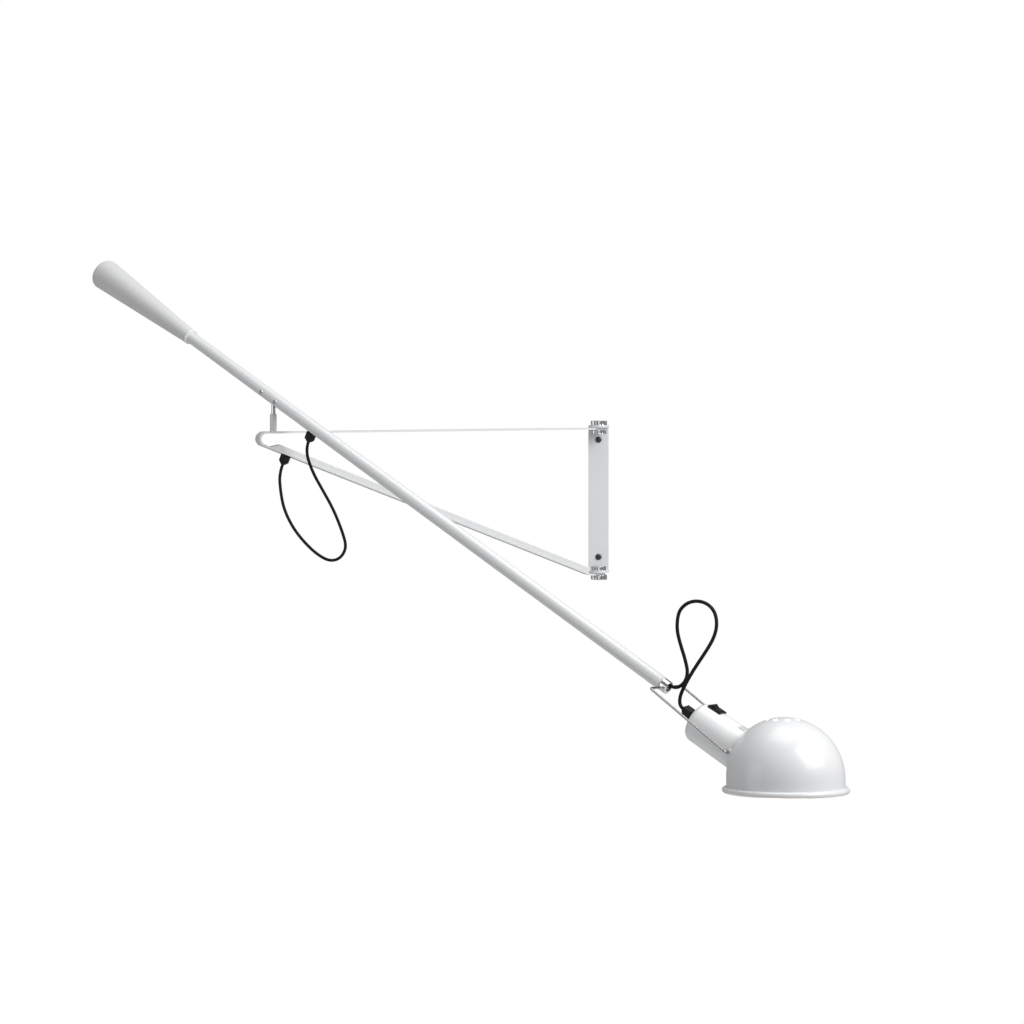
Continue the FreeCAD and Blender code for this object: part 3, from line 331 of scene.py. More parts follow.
@dataclass(frozen=True)
class Plate:
    """Bright plated metal: polishing haze, fine hairlines and small worn spots."""

    name: str = "polished_plate"
    colour: Point = (0.80, 0.81, 0.83)
    worn: Point = (0.55, 0.55, 0.56)
    rough: float = 0.08
    hairline: float = 3200.0
    depth: float = 0.0000004
    haze_scale: float = 60.0
    spot_scale: float = 700.0
    grain_way: Point = (1.0, 1.0, 0.08)

    def make(self) -> bpy.types.Material:
        """Builds the material."""
        graph = Graph(self.name)
        haze = graph.noise(self.haze_scale, 4.0)
        lines = graph.noise(self.hairline, 1.0, 0.4, self.grain_way)
        spots = graph.noise(self.spot_scale, 3.0).step(0.68, 0.76)
        colour = graph.mix(spots * 0.2 + haze.step(0.4, 0.8) * 0.15, self.colour, self.worn)
        rough = self.rough + haze * 0.06 + lines * 0.04 + spots * 0.1
        return graph.surface(Base_Color=colour, Metallic=1.0, Roughness=rough.clamp(),
                             Normal=graph.bump(lines, self.depth))


@dataclass(frozen=True)
class Plastic:
    """Moulded plastic: fine texture, a little shine on the edges, and dust."""

    name: str = "black_moulding"
    colour: Point = (0.004, 0.004, 0.0045)
    dust: Point = (0.012, 0.012, 0.011)
    rough: float = 0.42
    grain: float = 1500.0
    depth: float = 0.00002
    shine: float = 0.25
    cloud_scale: float = 80.0

    def make(self) -> bpy.types.Material:
        """Builds the material."""
        graph = Graph(self.name)
        cloud = graph.noise(self.cloud_scale, 4.0)
        grain = graph.noise(self.grain, 2.0)
        colour = graph.mix(cloud.step(0.5, 0.85) * 0.4 + graph.edges() * 0.3, self.colour, self.dust)
        rough = self.rough + cloud * 0.12 - graph.edges() * 0.1
        return graph.surface(Base_Color=colour, Roughness=rough.clamp(), Specular_IOR_Level=self.shine,
                             Normal=graph.bump(grain, self.depth))


@dataclass(frozen=True)
class GlowingGlass:
    """Frosted globe of a burning bulb: its glow drifts in soft patches between warm and bright."""

    name: str = "lit_frosted_globe"
    warm: Point = (1.0, 0.74, 0.46)
    bright: Point = (1.0, 0.86, 0.64)
    strength: float = 1.02
    glass: Point = (0.9, 0.88, 0.84)
    frost_scale: float = 900.0
    frost_depth: float = 0.00001
    cloud_scale: float = 30.0

    def make(self) -> bpy.types.Material:
        """Builds the material."""
        graph = Graph(self.name)
        frost = graph.noise(self.frost_scale, 3.0)
        cloud = graph.noise(self.cloud_scale, 3.0)
        glow = graph.mix(cloud.step(0.3, 0.7), self.warm, self.bright)
        return graph.surface(Base_Color=(*self.glass, 1.0), Roughness=(0.35 + frost * 0.15).clamp(),
                             Emission_Color=glow, Emission_Strength=self.strength,
                             Normal=graph.bump(frost, self.frost_depth))


@dataclass(frozen=True)
class Ground:
    """Pale matt studio floor."""

    name: str = "pale_floor"
    colour: Point = (0.86, 0.86, 0.86)
    darker: float = 0.97
    cloud_scale: float = 3.0

    def make(self) -> bpy.types.Material:
        """Builds the material."""
        graph = Graph(self.name)
        cloud = graph.noise(self.cloud_scale, 3.0)
        colour = graph.mix(cloud, self.colour, tuple(self.darker * part for part in self.colour))
        return graph.surface(Base_Color=colour, Roughness=0.9)


Finish = Union[Paint, Plate, Plastic, GlowingGlass, Ground]
JACKET = Plastic("cord_jacket", (0.004, 0.004, 0.004), (0.01, 0.01, 0.01), 0.5, 700.0, 0.00001)


class Workshop:
    """Keeps one material for each finish, and dresses pieces with them."""

    def __init__(self) -> None:
        """Starts with an empty shelf."""
        self.made: dict[str, bpy.types.Material] = {}

    def material(self, finish: Finish) -> bpy.types.Material:
        """The finish's material, made once."""
        if finish.name not in self.made:
            self.made[finish.name] = finish.make()
        return self.made[finish.name]

    def dress(self, piece: bpy.types.Object, finish: Finish) -> None:
        """Gives the whole piece one finish.

        Args:
            piece: a mesh.
            finish: its finish.
        """
        piece.data.materials.clear()
        piece.data.materials.append(self.material(finish))


# ---------------------------------------------------------------- frames and meshes
@dataclass
class Frames:
    """The lamp's own frames, read from its joints."""

    record: dict
    dome_ahead: float = 58.5 * MM
    dome_raise: float = 3.8 * MM
    head_up: float = 5.9
    shade_tilt: float = 60.5

    def joint(self, name: Joint) -> dict:
        """The record's entry for one joint."""
        return next(entry for entry in self.record["behaviour"]["joints"] if entry["name"] == name.value)

    def place(self, name: Joint) -> Vector:
        """A joint's position."""
        return Vector(self.joint(name)["pos_m"])

    def axis(self, name: Joint) -> Vector:
        """A joint's axis."""
        return Vector(self.joint(name)["axis"]).normalized()

    @staticmethod
    def build(origin: Vector, ahead: Vector, across: Vector) -> Matrix:
        """A frame from its origin, X and Y.

        Args:
            origin: the origin.
            ahead: the X axis.
            across: roughly the Y axis.

        Returns:
            The frame as a matrix.
        """
        first = ahead.normalized()
        third = first.cross(across).normalized()
        turn = Matrix((first, third.cross(first), third)).transposed()
        return Matrix.Translation(origin) @ turn.to_4x4()

    def arm(self) -> Matrix:
        """Arm: X to the head, Y to the wall side."""
        return self.build(self.place(Joint.TILT), self.axis(Joint.ROLL), self.axis(Joint.TILT))

    def fork(self) -> Matrix:
        """Fork: X from the cross wire to the housing's pivots."""
        start = self.place(Joint.FORK)
        return self.build(start, self.place(Joint.HEAD) - start, self.axis(Joint.FORK))

    def head(self) -> Matrix:
        """Housing: X along its axis."""
        turned = self.fork() @ Matrix.Rotation(math.radians(-self.head_up), 4, "Y")
        return Matrix.Translation(self.place(Joint.HEAD)) @ turned.to_3x3().to_4x4()

    def shade(self) -> Matrix:
        """Shade: Z from the dome's centre to its crown."""
        moved = self.head() @ Matrix.Translation((self.dome_ahead, 0, self.dome_raise))
        return moved @ Matrix.Rotation(math.radians(self.shade_tilt - 90), 4, "Y")


def finish_mesh(name: str, mesh: bmesh.types.BMesh, frame: Matrix, smooth: bool = True) -> bpy.types.Object:
    """Turns a bmesh into a linked object.

    Args:
        name: the piece's name.
        mesh: its geometry, in the frame.
        frame: the frame.
        smooth: shades faces smooth where edges are shallow.

    Returns:
        The object, with its place in its vertices.
    """
    bmesh.ops.recalc_face_normals(mesh, faces=mesh.faces)
    data = bpy.data.meshes.new(name)
    mesh.to_mesh(data)
    mesh.free()
    data.transform(frame)
    piece = bpy.data.objects.new(name, data)
    bpy.context.scene.collection.objects.link(piece)
    if smooth:
        data.polygons.foreach_set("use_smooth", [True] * len(data.polygons))
        data.set_sharp_from_angle(angle=math.radians(SMOOTH_ANGLE))
    return piece


def lathe(profile: Sequence[tuple[float, float]], steps: int = 64) -> bmesh.types.BMesh:
    """Turns a profile about X.

    Args:
        profile: (along, radius) pairs from one pole or rim to the other.
        steps: facets round the axis.

    Returns:
        The turned skin.
    """
    mesh = bmesh.new()
    rings = []
    for along, radius in profile:
        if radius < WELD:
            rings.append([mesh.verts.new((along, 0, 0))])
            continue
        angles = [2 * math.pi * step / steps for step in range(steps)]
        rings.append([mesh.verts.new((along, radius * math.cos(a), radius * math.sin(a))) for a in angles])
    for one, two in zip(rings, rings[1:]):
        bridge(mesh, one, two, steps)
    return mesh


def bridge(mesh: bmesh.types.BMesh, one: list, two: list, steps: int) -> None:
    """Joins two rings, or a ring and a pole, with faces.

    Args:
        mesh: the mesh that holds them.
        one: first ring.
        two: second ring.
        steps: vertices in a full ring.
    """
    for step in range(steps):
        after = (step + 1) % steps
        corners = [one[step % len(one)], one[after % len(one)], two[after % len(two)], two[step % len(two)]]
        unique = list(dict.fromkeys(corners))
        if len(unique) > 2:
            mesh.faces.new(unique)


@dataclass
class CordLine:
    """The smooth line of a free cord, and the round jacket on it."""

    points: Sequence[Point]
    diameter: float = 4.0 * MM
    sides: int = 20
    order: int = 3
    fineness: int = 10
    first_side: Point = (0.3, 1.0, 0.2)

    def route(self) -> list[Vector]:
        """Points of the smooth spline that the route steers.

        Returns:
            Closely spaced points in the row frame.
        """
        curve = bpy.data.curves.new("route", "CURVE")
        curve.dimensions = "3D"
        curve.resolution_u = self.fineness
        spline = curve.splines.new("NURBS")
        spline.points.add(len(self.points) - 1)
        for knot, point in zip(spline.points, self.points):
            knot.co = (*point, 1.0)
        spline.order_u = self.order
        spline.use_endpoint_u = True
        holder = bpy.data.objects.new("route", curve)
        bpy.context.scene.collection.objects.link(holder)
        bpy.context.view_layer.update()
        drawn = bpy.data.meshes.new_from_object(holder)
        line = [vertex.co.copy() for vertex in drawn.vertices]
        bpy.data.objects.remove(holder)
        return line

    def jacket(self, line: Sequence[Vector]) -> bmesh.types.BMesh:
        """Round tube along the line, closed at both ends.

        Args:
            line: the centre line.

        Returns:
            The tube.
        """
        mesh = bmesh.new()
        rings = []
        across = Vector(self.first_side).cross(line[1] - line[0]).normalized()
        for number, point in enumerate(line):
            ahead = (line[min(number + 1, len(line) - 1)] - line[max(number - 1, 0)]).normalized()
            across = (across - ahead * across.dot(ahead)).normalized()
            side = ahead.cross(across)
            angles = [2 * math.pi * step / self.sides for step in range(self.sides)]
            radius = self.diameter / 2
            rings.append([mesh.verts.new(point + (across * math.cos(a) + side * math.sin(a)) * radius)
                          for a in angles])
        for one, two in zip(rings, rings[1:]):
            bridge(mesh, one, two, self.sides)
        mesh.faces.new(rings[0])
        mesh.faces.new(rings[-1])
        return mesh


# ---------------------------------------------------------------- cords
# Route points in millimetres: the first loop's from the tilt axis, the second's from the cross wire.
ARM_LOOP_FALL = [(11.92, 6.02, -86.89), (7.36, 3.72, -99.93), (9, 2, -122), (14, -1, -147), (27, -5, -172),
                 (44, -9, -192), (60, -12, -206), (76, -15, -214), (90, -18, -210), (98, -19, -196),
                 (94, -21, -178)]
ARM_LOOP_RISE = [(82, -26, -146), (68, -30, -120), (55, -34, -96), (45.89, -36.11, -67.84),
                 (50.93, -40.08, -55.4)]
HEAD_LOOP_RISE = [(-0.64, 1.04, 5.05), (7.77, -5.7, -1.47), (19, -8, 4), (24, -6, 16), (21, -4, 31),
                  (16, -3, 47), (12, -3, 62), (12, -4, 76), (15, -6, 88), (26, -9, 97)]
HEAD_LOOP_FALL = [(41, -13, 97), (52, -16, 88), (55, -19, 74), (52, -22, 60), (44, -24, 46), (34, -23, 31),
                  (25, -20, 16), (18, -17, 2), (14, -13, -9), (14.2, -12.36, -19.64), (18.48, -15.7, -22.21)]


@dataclass
class Cords:
    """The two free loops, each in two halves that meet halfway along a straight run."""

    frames: Frames
    workshop: Workshop
    diameter: float = 4.0 * MM
    ends: dict[str, tuple[Vector, Vector]] = field(default_factory=dict)

    def around(self, joint: Joint, offsets: Sequence[Point]) -> list[Point]:
        """Route points from millimetre offsets to a joint.

        Args:
            joint: the joint that they are measured from.
            offsets: the offsets, in millimetres.

        Returns:
            Points in the row frame.
        """
        origin = self.frames.place(joint)
        return [tuple(origin + Vector(offset) * MM) for offset in offsets]

    @staticmethod
    def length(line: Sequence[Vector]) -> float:
        """Length of a line of points."""
        return sum((two - one).length for one, two in zip(line, line[1:]))

    def half(self, name: str, points: Sequence[Point], leaves_end: bool) -> None:
        """Makes and dresses one half of a loop, and notes where it leaves.

        Args:
            name: the CAD node that it replaces.
            points: its route.
            leaves_end: True where it leaves the object at the route's end.
        """
        shape = CordLine(points, self.diameter)
        line = shape.route()
        piece = finish_mesh(name + "_jacket", shape.jacket(line), Matrix.Identity(4))
        self.workshop.dress(piece, JACKET)
        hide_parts(name)
        path = line[::-1] if leaves_end else line
        self.ends[name] = (path[0], (path[1] - path[0]).normalized())
        self.length(line)
        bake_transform(piece)

    def build(self) -> int:
        """Makes both loops.

        Returns:
            The number of pieces.
        """
        self.pair(Joint.TILT, ARM_LOOP_FALL, ARM_LOOP_RISE, ("arm_cord_fall", "arm_cord_rise"))
        self.pair(Joint.FORK, HEAD_LOOP_RISE, HEAD_LOOP_FALL, ("head_cord_rise", "head_cord_fall"))
        return len(self.ends)

    def pair(self, joint: Joint, first: Sequence[Point], second: Sequence[Point],
             names: tuple[str, str]) -> None:
        """Makes one loop from its two lists of offsets.

        Args:
            joint: the joint that the offsets are measured from.
            first: offsets of the first half, from its exit.
            second: offsets of the second half, to its exit.
            names: the CAD nodes of the halves.
        """
        one = self.around(joint, first)
        two = self.around(joint, second)
        middle = tuple((Vector(one[-1]) + Vector(two[0])) / 2)
        self.half(names[0], [*one, middle], False)
        self.half(names[1], [middle, *two], True)


# ---------------------------------------------------------------- stage
@dataclass(frozen=True)
class SoftLight:
    """A square area light: its place, the point it faces, its side in metres and its power in watts."""

    name: str
    place: Point
    aim: Point
    size: float
    power: float

    def hang(self) -> None:
        """Adds the light to the scene."""
        data = bpy.data.lights.new(self.name, "AREA")
        data.size = self.size
        data.energy = self.power
        holder = bpy.data.objects.new(self.name, data)
        holder.location = self.place
        facing = Vector(self.aim) - Vector(self.place)
        holder.rotation_euler = facing.to_track_quat("-Z", "Y").to_euler()
        bpy.context.scene.collection.objects.link(holder)


@dataclass
class Stage:
    """Camera, floor and light."""

    workshop: Workshop
    eye: Point = (-0.1247, -2.742, 0.1628)
    lens: float = 66.8
    shift: float = -0.1237
    floor_low: Point = (-2.6, -3.6, -1.25)
    floor_high: Point = (2.6, 1.0, -1.25)
    backdrop: float = 1.0
    fill: float = 0.25
    sensor: float = 36.0
    far: float = 50.0
    lights: tuple[SoftLight, ...] = (
        SoftLight("key_light", (1.6, -1.5, 1.3), (0.1, -0.5, -0.1), 1.8, 56.0),
        SoftLight("top_light", (0.1, -0.3, 2.1), (0.0, -0.4, 0.0), 1.6, 24.0),
        SoftLight("left_light", (-2.2, -1.4, 0.2), (-0.4, -0.4, 0.2), 1.4, 8.0))

    def camera(self) -> None:
        """Makes the camera and takes it for the scene."""
        data = bpy.data.cameras.new("camera")
        data.lens = self.lens
        data.sensor_width = self.sensor
        data.shift_y = self.shift
        data.clip_end = self.far
        holder = bpy.data.objects.new("camera", data)
        holder.location = self.eye
        holder.rotation_euler = (math.radians(90), 0, 0)
        bpy.context.scene.collection.objects.link(holder)
        bpy.context.scene.camera = holder

    def floor(self) -> None:
        """Lays the floor."""
        mesh = bmesh.new()
        (left, near, level), (right, far, _) = self.floor_low, self.floor_high
        corners = [(left, near), (right, near), (right, far), (left, far)]
        mesh.faces.new([mesh.verts.new((x, y, level)) for x, y in corners])
        piece = finish_mesh("floor", mesh, Matrix.Identity(4), smooth=False)
        self.workshop.dress(piece, Ground())

    def world(self) -> None:
        """White surroundings, dimmer as a light than as a backdrop."""
        world = bpy.data.worlds.new("studio")
        world.use_nodes = True
        tree = world.node_tree
        background = tree.nodes["Background"]
        background.inputs["Color"].default_value = (1, 1, 1, 1)
        path = tree.nodes.new("ShaderNodeLightPath")
        level = tree.nodes.new("ShaderNodeMapRange")
        level.inputs["To Min"].default_value = self.fill
        level.inputs["To Max"].default_value = self.backdrop
        tree.links.new(path.outputs["Is Camera Ray"], level.inputs["Value"])
        tree.links.new(level.outputs["Result"], background.inputs["Strength"])
        bpy.context.scene.world = world
        bpy.context.scene.view_settings.view_transform = "Standard"

    def build(self) -> int:
        """Sets the stage.

        Returns:
            The number of lights.
        """
        self.camera()
        self.floor()
        self.world()
        for light in self.lights:
            light.hang()
        return len(self.lights)


# ---------------------------------------------------------------- sub-assemblies
@dataclass(frozen=True)
class Finishes:
    """Every finish that the lamp uses."""

    white: Paint = Paint()
    matt: Paint = Paint("matt_white_paint", (0.64, 0.645, 0.65), (0.54, 0.54, 0.545), (0.58, 0.58, 0.57), 0.6,
                        500.0, 0.00003, 0.0)
    gloss: Paint = Paint("gloss_white_enamel", (0.74, 0.75, 0.765), (0.66, 0.67, 0.68), (0.70, 0.70, 0.70),
                         0.36, 700.0, 0.000006, 0.3)
    chrome: Plate = Plate()
    wire: Plate = Plate("plated_wire", (0.42, 0.42, 0.43), (0.30, 0.30, 0.31), 0.16, 900.0, 0.0000001)
    steel: Plate = Plate("zinc_plate", (0.62, 0.63, 0.65), (0.42, 0.42, 0.43), 0.28, 1400.0, 0.000001)
    blacked: Plate = Plate("blackened_steel", (0.10, 0.10, 0.11), (0.25, 0.24, 0.23), 0.38, 1400.0, 0.000002)
    brass: Plate = Plate("brass_sheet", (0.78, 0.58, 0.27), (0.5, 0.36, 0.18), 0.22, 1400.0, 0.000001)
    cap_metal: Plate = Plate("plain_aluminium", (0.72, 0.73, 0.74), (0.5, 0.5, 0.5), 0.3, 1800.0, 0.000004)
    black: Plastic = Plastic()
    seal: Plastic = Plastic("black_rubber_lip", (0.006, 0.006, 0.006), (0.015, 0.015, 0.015), 0.6,
                            1100.0, 0.00002)
    key: Plastic = Plastic("black_gloss_key", (0.006, 0.006, 0.006), (0.012, 0.012, 0.012), 0.2,
                           900.0, 0.000008)
    nylon: Plastic = Plastic("natural_nylon", (0.72, 0.72, 0.68), (0.6, 0.59, 0.55), 0.45, 900.0, 0.00001)
    cream: Plastic = Plastic("cream_moulding", (0.78, 0.76, 0.70), (0.6, 0.58, 0.52), 0.35, 900.0, 0.00001)
    jacket: Plastic = JACKET
    globe: GlowingGlass = GlowingGlass()


@dataclass
class Assembly:
    """A group of pieces that are made and dressed together."""

    nodes: dict
    frames: Frames
    workshop: Workshop
    finishes: Finishes
    made: int = 0
    rounding_angle: float = 50.0
    rounding_segments: int = 2

    def soften(self, widths: dict[str, float]) -> None:
        """Rounds the sharp edges of nodes.

        Args:
            widths: each node's name and the width of its rounding.
        """
        for name, width in widths.items():
            bevel = self.nodes[name].modifiers.new("rounding", "BEVEL")
            bevel.width = width
            bevel.segments = self.rounding_segments
            bevel.limit_method = "ANGLE"
            bevel.angle_limit = math.radians(self.rounding_angle)
            bevel.harden_normals = False

    def dress(self, finish: Finish, *names: str) -> None:
        """Gives nodes a finish.

        Args:
            finish: the finish.
            names: the nodes.
        """
        for name in names:
            self.workshop.dress(self.nodes[name], finish)

    def add(self, piece: bpy.types.Object, finish: Finish, body: Body, replaces: Sequence[str] = (),
            slot: Optional[str] = None) -> None:
        """Dresses a new piece and sets it on its body.

        Args:
            piece: the piece.
            finish: its finish.
            body: the body that carries it.
            replaces: the nodes that it stands for.
            slot: its material slot; not used.
        """
        self.workshop.dress(piece, finish)
        if replaces:
            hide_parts(*replaces)
        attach(piece, body.value)
        self.made += 1


@dataclass
class WallMount(Assembly):
    """Plate, pivots with fluted caps, washers and the two wall screws."""

    flutes: int = 20
    flute_depth: float = 0.7 * MM
    flute_steps: int = 8
    screw_spacing: float = 169.0 * MM
    screw_radius: float = 4.5 * MM
    screw_height: float = 2.2 * MM
    recess_depth: float = 1.3 * MM
    recess_reach: float = 2.5 * MM
    recess_half: float = 0.55 * MM
    shank: float = 4.0 * MM
    edge: float = 0.6 * MM
    socket: float = 3.2 * MM
    cap_head: float = 6.5 * MM
    socket_share: float = 0.4
    nut_play: float = 0.05 * MM
    plate_depth: float = 3.0 * MM
    screw_steps: int = 96
    screw_rings: int = 22
    screw_rim: float = 0.3 * MM
    screw_crown: float = 0.35 * MM
    crown_power: float = 0.8
    recess_slope: float = 0.35

    def fluted(self, profile: Sequence[tuple[float, float, float]]) -> bmesh.types.BMesh:
        """Turned skin with flutes down its sides.

        Args:
            profile: along, radius and share of the full flute depth.

        Returns:
            The skin, closed at its poles.
        """
        steps = self.flutes * self.flute_steps
        mesh = lathe([(along, radius) for along, radius, _ in profile], steps)
        shares = {round(along, 6): share for along, _, share in profile}
        for vertex in mesh.verts:
            depth = shares[round(vertex.co.x, 6)] * self.flute_depth
            angle = math.atan2(vertex.co.z, vertex.co.y)
            radius = math.hypot(vertex.co.y, vertex.co.z)
            if radius > self.shank + depth:
                cut = depth * abs(math.sin(angle * self.flutes / 2))
                vertex.co.y *= 1 - cut / radius
                vertex.co.z *= 1 - cut / radius
        return mesh

    def side(self, length: float, radius: float) -> list[tuple[float, float, float]]:
        """Profile of a fluted side with rounded ends.

        Args:
            length: from face to face.
            radius: outer radius.

        Returns:
            Along, radius and share of the full flute depth.
        """
        inset = self.edge * 0.35
        shoulder = radius - self.edge * 0.3
        return [(0, radius - self.edge, 0), (inset, shoulder, 0.5), (self.edge, radius, 1),
                (length - self.edge, radius, 1), (length - inset, shoulder, 0.5),
                (length, radius - self.edge, 0)]

    def measure(self, name: str) -> tuple[Vector, float, float]:
        """Middle of a node's lower face, its radius and its height."""
        low, high = (Vector(corner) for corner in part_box(name))
        base = Vector(((low.x + high.x) / 2, (low.y + high.y) / 2, low.z))
        return base, (high.x - low.x) / 2, high.z - low.z

    def cap(self, name: str, upwards: bool) -> None:
        """Fluted cap screw with a round socket in its head.

        Args:
            name: the node that it replaces.
            upwards: True where the head is on top.
        """
        base, radius, length = self.measure(name)
        way = Vector((0, 0, -1 if upwards else 1))
        face = base + Vector((0, 0, length if upwards else 0))
        floor = self.socket_share * self.cap_head
        socket = [(floor, 0, 0), (floor + TINY, self.socket * 0.98, 0), (TINY * 2, self.socket, 0),
                  (TINY, self.socket + self.edge * 0.4, 0)]
        shank = [(self.cap_head + TINY, self.shank, 0), (length - TINY, self.shank, 0), (length, 0, 0)]
        skin = self.fluted([*socket, *self.side(self.cap_head, radius), *shank])
        piece = finish_mesh(name + "_fluted", skin, self.frames.build(face, way, Vector((1, 0, 0))))
        self.add(piece, self.finishes.chrome, Body.WALL_MOUNT, (name,), "chrome")

    def nut(self, name: str) -> None:
        """Fluted round nut.

        Args:
            name: the node that it replaces.
        """
        base, radius, length = self.measure(name)
        hole = self.shank + self.nut_play
        profile = [(TINY, hole, 0), *self.side(length, radius), (length - TINY, hole, 0)]
        mesh = self.fluted([*profile, profile[0]])
        bmesh.ops.remove_doubles(mesh, verts=mesh.verts, dist=WELD)
        frame = self.frames.build(base, Vector((0, 0, 1)), Vector((1, 0, 0)))
        piece = finish_mesh(name + "_fluted", mesh, frame)
        self.add(piece, self.finishes.chrome, Body.WALL_MOUNT, (name,), "chrome")

    def wall_screw(self, name: str, height: float, turn: float) -> None:
        """Pan-head screw with a cross recess, its head on the plate.

        Args:
            name: its name.
            height: its height on the plate.
            turn: how far its recess is turned, in degrees.
        """
        profile = [(0.0, self.screw_radius * 0.9), (-self.screw_rim, self.screw_radius)]
        rise = self.screw_height - self.screw_crown
        for ring in range(1, self.screw_rings):
            share = 1 - ring / self.screw_rings
            crown = math.sqrt(1 - share ** 2) ** self.crown_power
            profile.append((-self.screw_crown - crown * rise, self.screw_radius * share))
        profile.append((-self.screw_height, 0.0))
        mesh = lathe(profile, self.screw_steps)
        for vertex in mesh.verts:
            nearest = min(abs(vertex.co.y), abs(vertex.co.z))
            reach = math.hypot(vertex.co.y, vertex.co.z)
            if nearest < self.recess_half and reach < self.recess_reach:
                vertex.co.x += self.recess_depth * (1 - self.recess_slope * reach / self.recess_reach)
        face = Vector((0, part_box("wall_plate")[1][1] - self.plate_depth, height))
        spin = Matrix.Rotation(math.radians(turn), 4, "X")
        frame = self.frames.build(face, Vector((0, 1, 0)), Vector((1, 0, 0))) @ spin
        self.add(finish_mesh(name, mesh, frame), self.finishes.blacked, Body.WALL_MOUNT)

    def build(self) -> int:
        """Makes and dresses the group.

        Returns:
            The number of new pieces.
        """
        self.dress(self.finishes.white, "wall_plate")
        self.dress(self.finishes.nylon, "pivot_washers")
        self.soften({"wall_plate": 0.35 * MM})
        self.cap("pivot_screw_top", True)
        self.cap("pivot_screw_bottom", False)
        self.nut("pivot_nut_top")
        self.nut("pivot_nut_bottom")
        self.wall_screw("wall_screw_top", self.screw_spacing / 2, 18.0)
        self.wall_screw("wall_screw_bottom", -self.screw_spacing / 2, 52.0)
        return self.made


@dataclass
class Seals(Assembly):
    """Rubber lips where the cords leave the three glands."""

    hole: float = 2.02 * MM
    outer: float = 3.5 * MM
    length: float = 1.3 * MM
    steps: int = 40
    slope: tuple[tuple[float, float], ...] = ((0.3, 1.0), (0.55, 0.75), (0.8, 0.62), (1.0, 0.3), (0.9, 0.0))

    def lip(self, name: str, mouth: Vector, out: Vector, body: Body) -> None:
        """One moulded lip round a cord.

        Args:
            name: its name.
            mouth: where the cord leaves.
            out: the way it leaves.
            body: the body that carries it.
        """
        thick = self.outer - self.hole
        profile = [(0, self.hole), (0, self.outer)]
        profile += [(self.length * along, self.hole + thick * share) for along, share in self.slope]
        mesh = lathe([*profile, profile[0]], self.steps)
        bmesh.ops.remove_doubles(mesh, verts=mesh.verts, dist=WELD)
        side = Vector((0, 0, 1)) if abs(out.z) < 0.7 else Vector((1, 0, 0))
        self.add(finish_mesh(name, mesh, self.frames.build(mouth, out, side)), self.finishes.seal, body)

    def build(self, ends: dict[str, tuple[Vector, Vector]]) -> int:
        """Makes the lips.

        Args:
            ends: mouth and outward way of each cord half.

        Returns:
            The number of new pieces.
        """
        self.lip("bracket_gland_lip", *ends["arm_cord_fall"], Body.BRACKET)
        self.lip("arm_gland_lip", *ends["arm_cord_rise"], Body.ARM)
        self.lip("head_gland_lip", *ends["head_cord_fall"], Body.HEAD)
        return self.made


@dataclass
class Bracket(Assembly):
    """Bent strip, cable channel, swivel post and their fittings."""

    def build(self) -> int:
        """Dresses the group.

        Returns:
            The number of new pieces.
        """
        self.dress(self.finishes.white, "bracket_strip", "cable_channel", "swivel_post")
        self.dress(self.finishes.black, "bracket_gland", "bracket_gland_nut")
        self.dress(self.finishes.jacket, "channel_lead")
        self.dress(self.finishes.steel, "post_screw", "post_grub_screw")
        self.dress(self.finishes.nylon, "post_bush")
        self.dress(self.finishes.chrome, "swivel_stem")
        self.soften({"bracket_strip": 0.3 * MM, "bracket_gland": 0.25 * MM})
        return self.made


@dataclass
class Arm(Assembly):
    """Tube, saddle, counterweight with its rolled collar, and the front bush."""

    weight_front: float = 179.0 * MM
    collar_radius: float = 10.6 * MM
    tube_radius: float = 8.02 * MM
    collar_length: float = 2.6 * MM
    collar_overlap: float = 1.15
    collar_lip: float = 0.35
    collar_facets: int = 12
    collar_steps: int = 72

    def collar(self) -> None:
        """Rolled collar round the tube at the counterweight's small end."""
        start = -self.weight_front - self.collar_length
        span = self.collar_radius - self.tube_radius
        length = self.collar_length * self.collar_overlap
        profile = [(start, self.tube_radius)]
        for step in range(self.collar_facets + 1):
            angle = math.pi * step / self.collar_facets
            height = self.collar_lip + (1 - self.collar_lip) * math.sin(angle)
            profile.append((start + length * (0.5 - 0.5 * math.cos(angle)), self.tube_radius + span * height))
        profile.append((start + length, self.tube_radius))
        mesh = lathe([*profile, profile[0]], self.collar_steps)
        bmesh.ops.remove_doubles(mesh, verts=mesh.verts, dist=WELD)
        self.add(finish_mesh("weight_collar", mesh, self.frames.arm()), self.finishes.white, Body.ARM)

    def build(self) -> int:
        """Makes and dresses the group.

        Returns:
            The number of new pieces.
        """
        self.dress(self.finishes.white, "arm_tube")
        self.dress(self.finishes.matt, "counterweight")
        self.dress(self.finishes.steel, "arm_saddle", "tilt_pin", "weight_grub_screw")
        self.dress(self.finishes.chrome, "saddle_screws")
        self.dress(self.finishes.black, "arm_gland")
        self.dress(self.finishes.jacket, "arm_lead")
        self.dress(self.finishes.nylon, "end_bush")
        self.soften({"arm_gland": 0.25 * MM})
        self.collar()
        return self.made


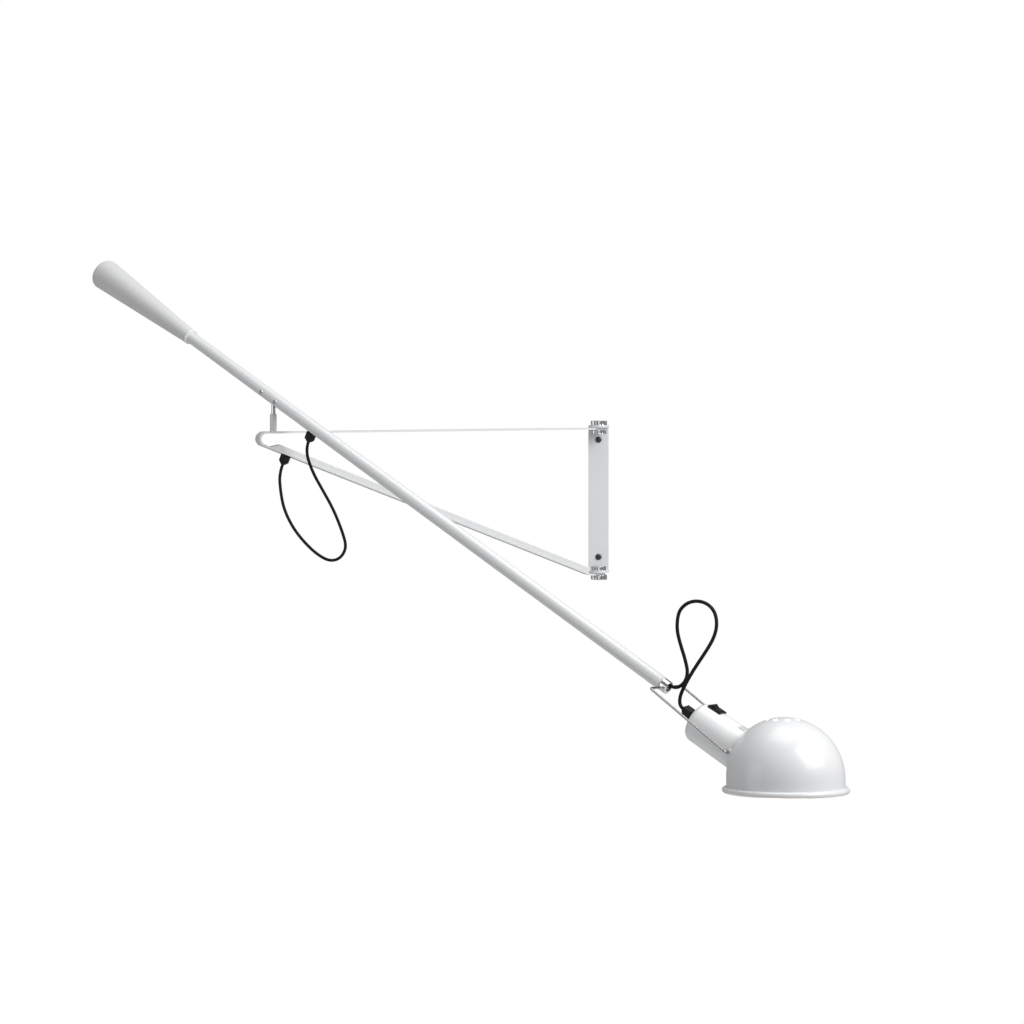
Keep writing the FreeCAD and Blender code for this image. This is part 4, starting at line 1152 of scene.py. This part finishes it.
@dataclass
class Head(Assembly):
    """Knuckle, wire fork, housing with its switch, shade and bulb."""

    glow_power: float = 0.35
    glow_tint: Point = (1.0, 0.74, 0.40)
    glow_height: float = 46.0 * MM
    glow_radius: float = 9.0 * MM

    def glow(self) -> None:
        """Warm light of the burning bulb on the inside of the crown."""
        data = bpy.data.lights.new("bulb_light", "POINT")
        data.energy = self.glow_power
        data.color = self.glow_tint
        data.shadow_soft_size = self.glow_radius
        holder = bpy.data.objects.new("bulb_light", data)
        holder.location = self.frames.shade() @ Vector((0, 0, self.glow_height))
        bpy.context.scene.collection.objects.link(holder)

    def build(self) -> int:
        """Dresses the group.

        Returns:
            The number of new pieces.
        """
        self.dress(self.finishes.chrome, "knuckle")
        self.dress(self.finishes.wire, "wire_fork")
        self.dress(self.finishes.steel, "knuckle_lock_ring", "knuckle_grub_screw")
        self.dress(self.finishes.white, "lamp_housing")
        self.dress(self.finishes.black, "head_gland", "head_gland_nut")
        self.dress(self.finishes.black, "switch_body")
        self.dress(self.finishes.key, "switch_rocker")
        self.dress(self.finishes.gloss, "shade")
        self.dress(self.finishes.cream, "shade_ring", "lampholder")
        self.dress(self.finishes.brass, "screw_shell", "centre_contact")
        self.dress(self.finishes.cap_metal, "bulb_cap")
        self.dress(self.finishes.globe, "bulb_glass")
        self.glow()
        self.soften({"switch_body": 0.3 * MM, "switch_rocker": 0.35 * MM, "head_gland": 0.25 * MM})
        return self.made


def main() -> None:
    """Builds the lamp and its stage."""
    logging.basicConfig(level=logging.INFO, format="%(name)s: %(message)s")
    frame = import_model()
    workshop = Workshop()
    frames = Frames(frame["record"])
    LOG.info("stage: %d lights", Stage(workshop).build())
    cords = Cords(frames, workshop)
    LOG.info("cords: %d pieces", cords.build())
    shared = (frame["nodes"], frames, workshop, Finishes())
    for group in (WallMount(*shared), Bracket(*shared), Arm(*shared), Head(*shared)):
        LOG.info("%s: %d new pieces", type(group).__name__, group.build())
    LOG.info("seals: %d new pieces", Seals(*shared).build(cords.ends))


if __name__ == "__main__":
    main()
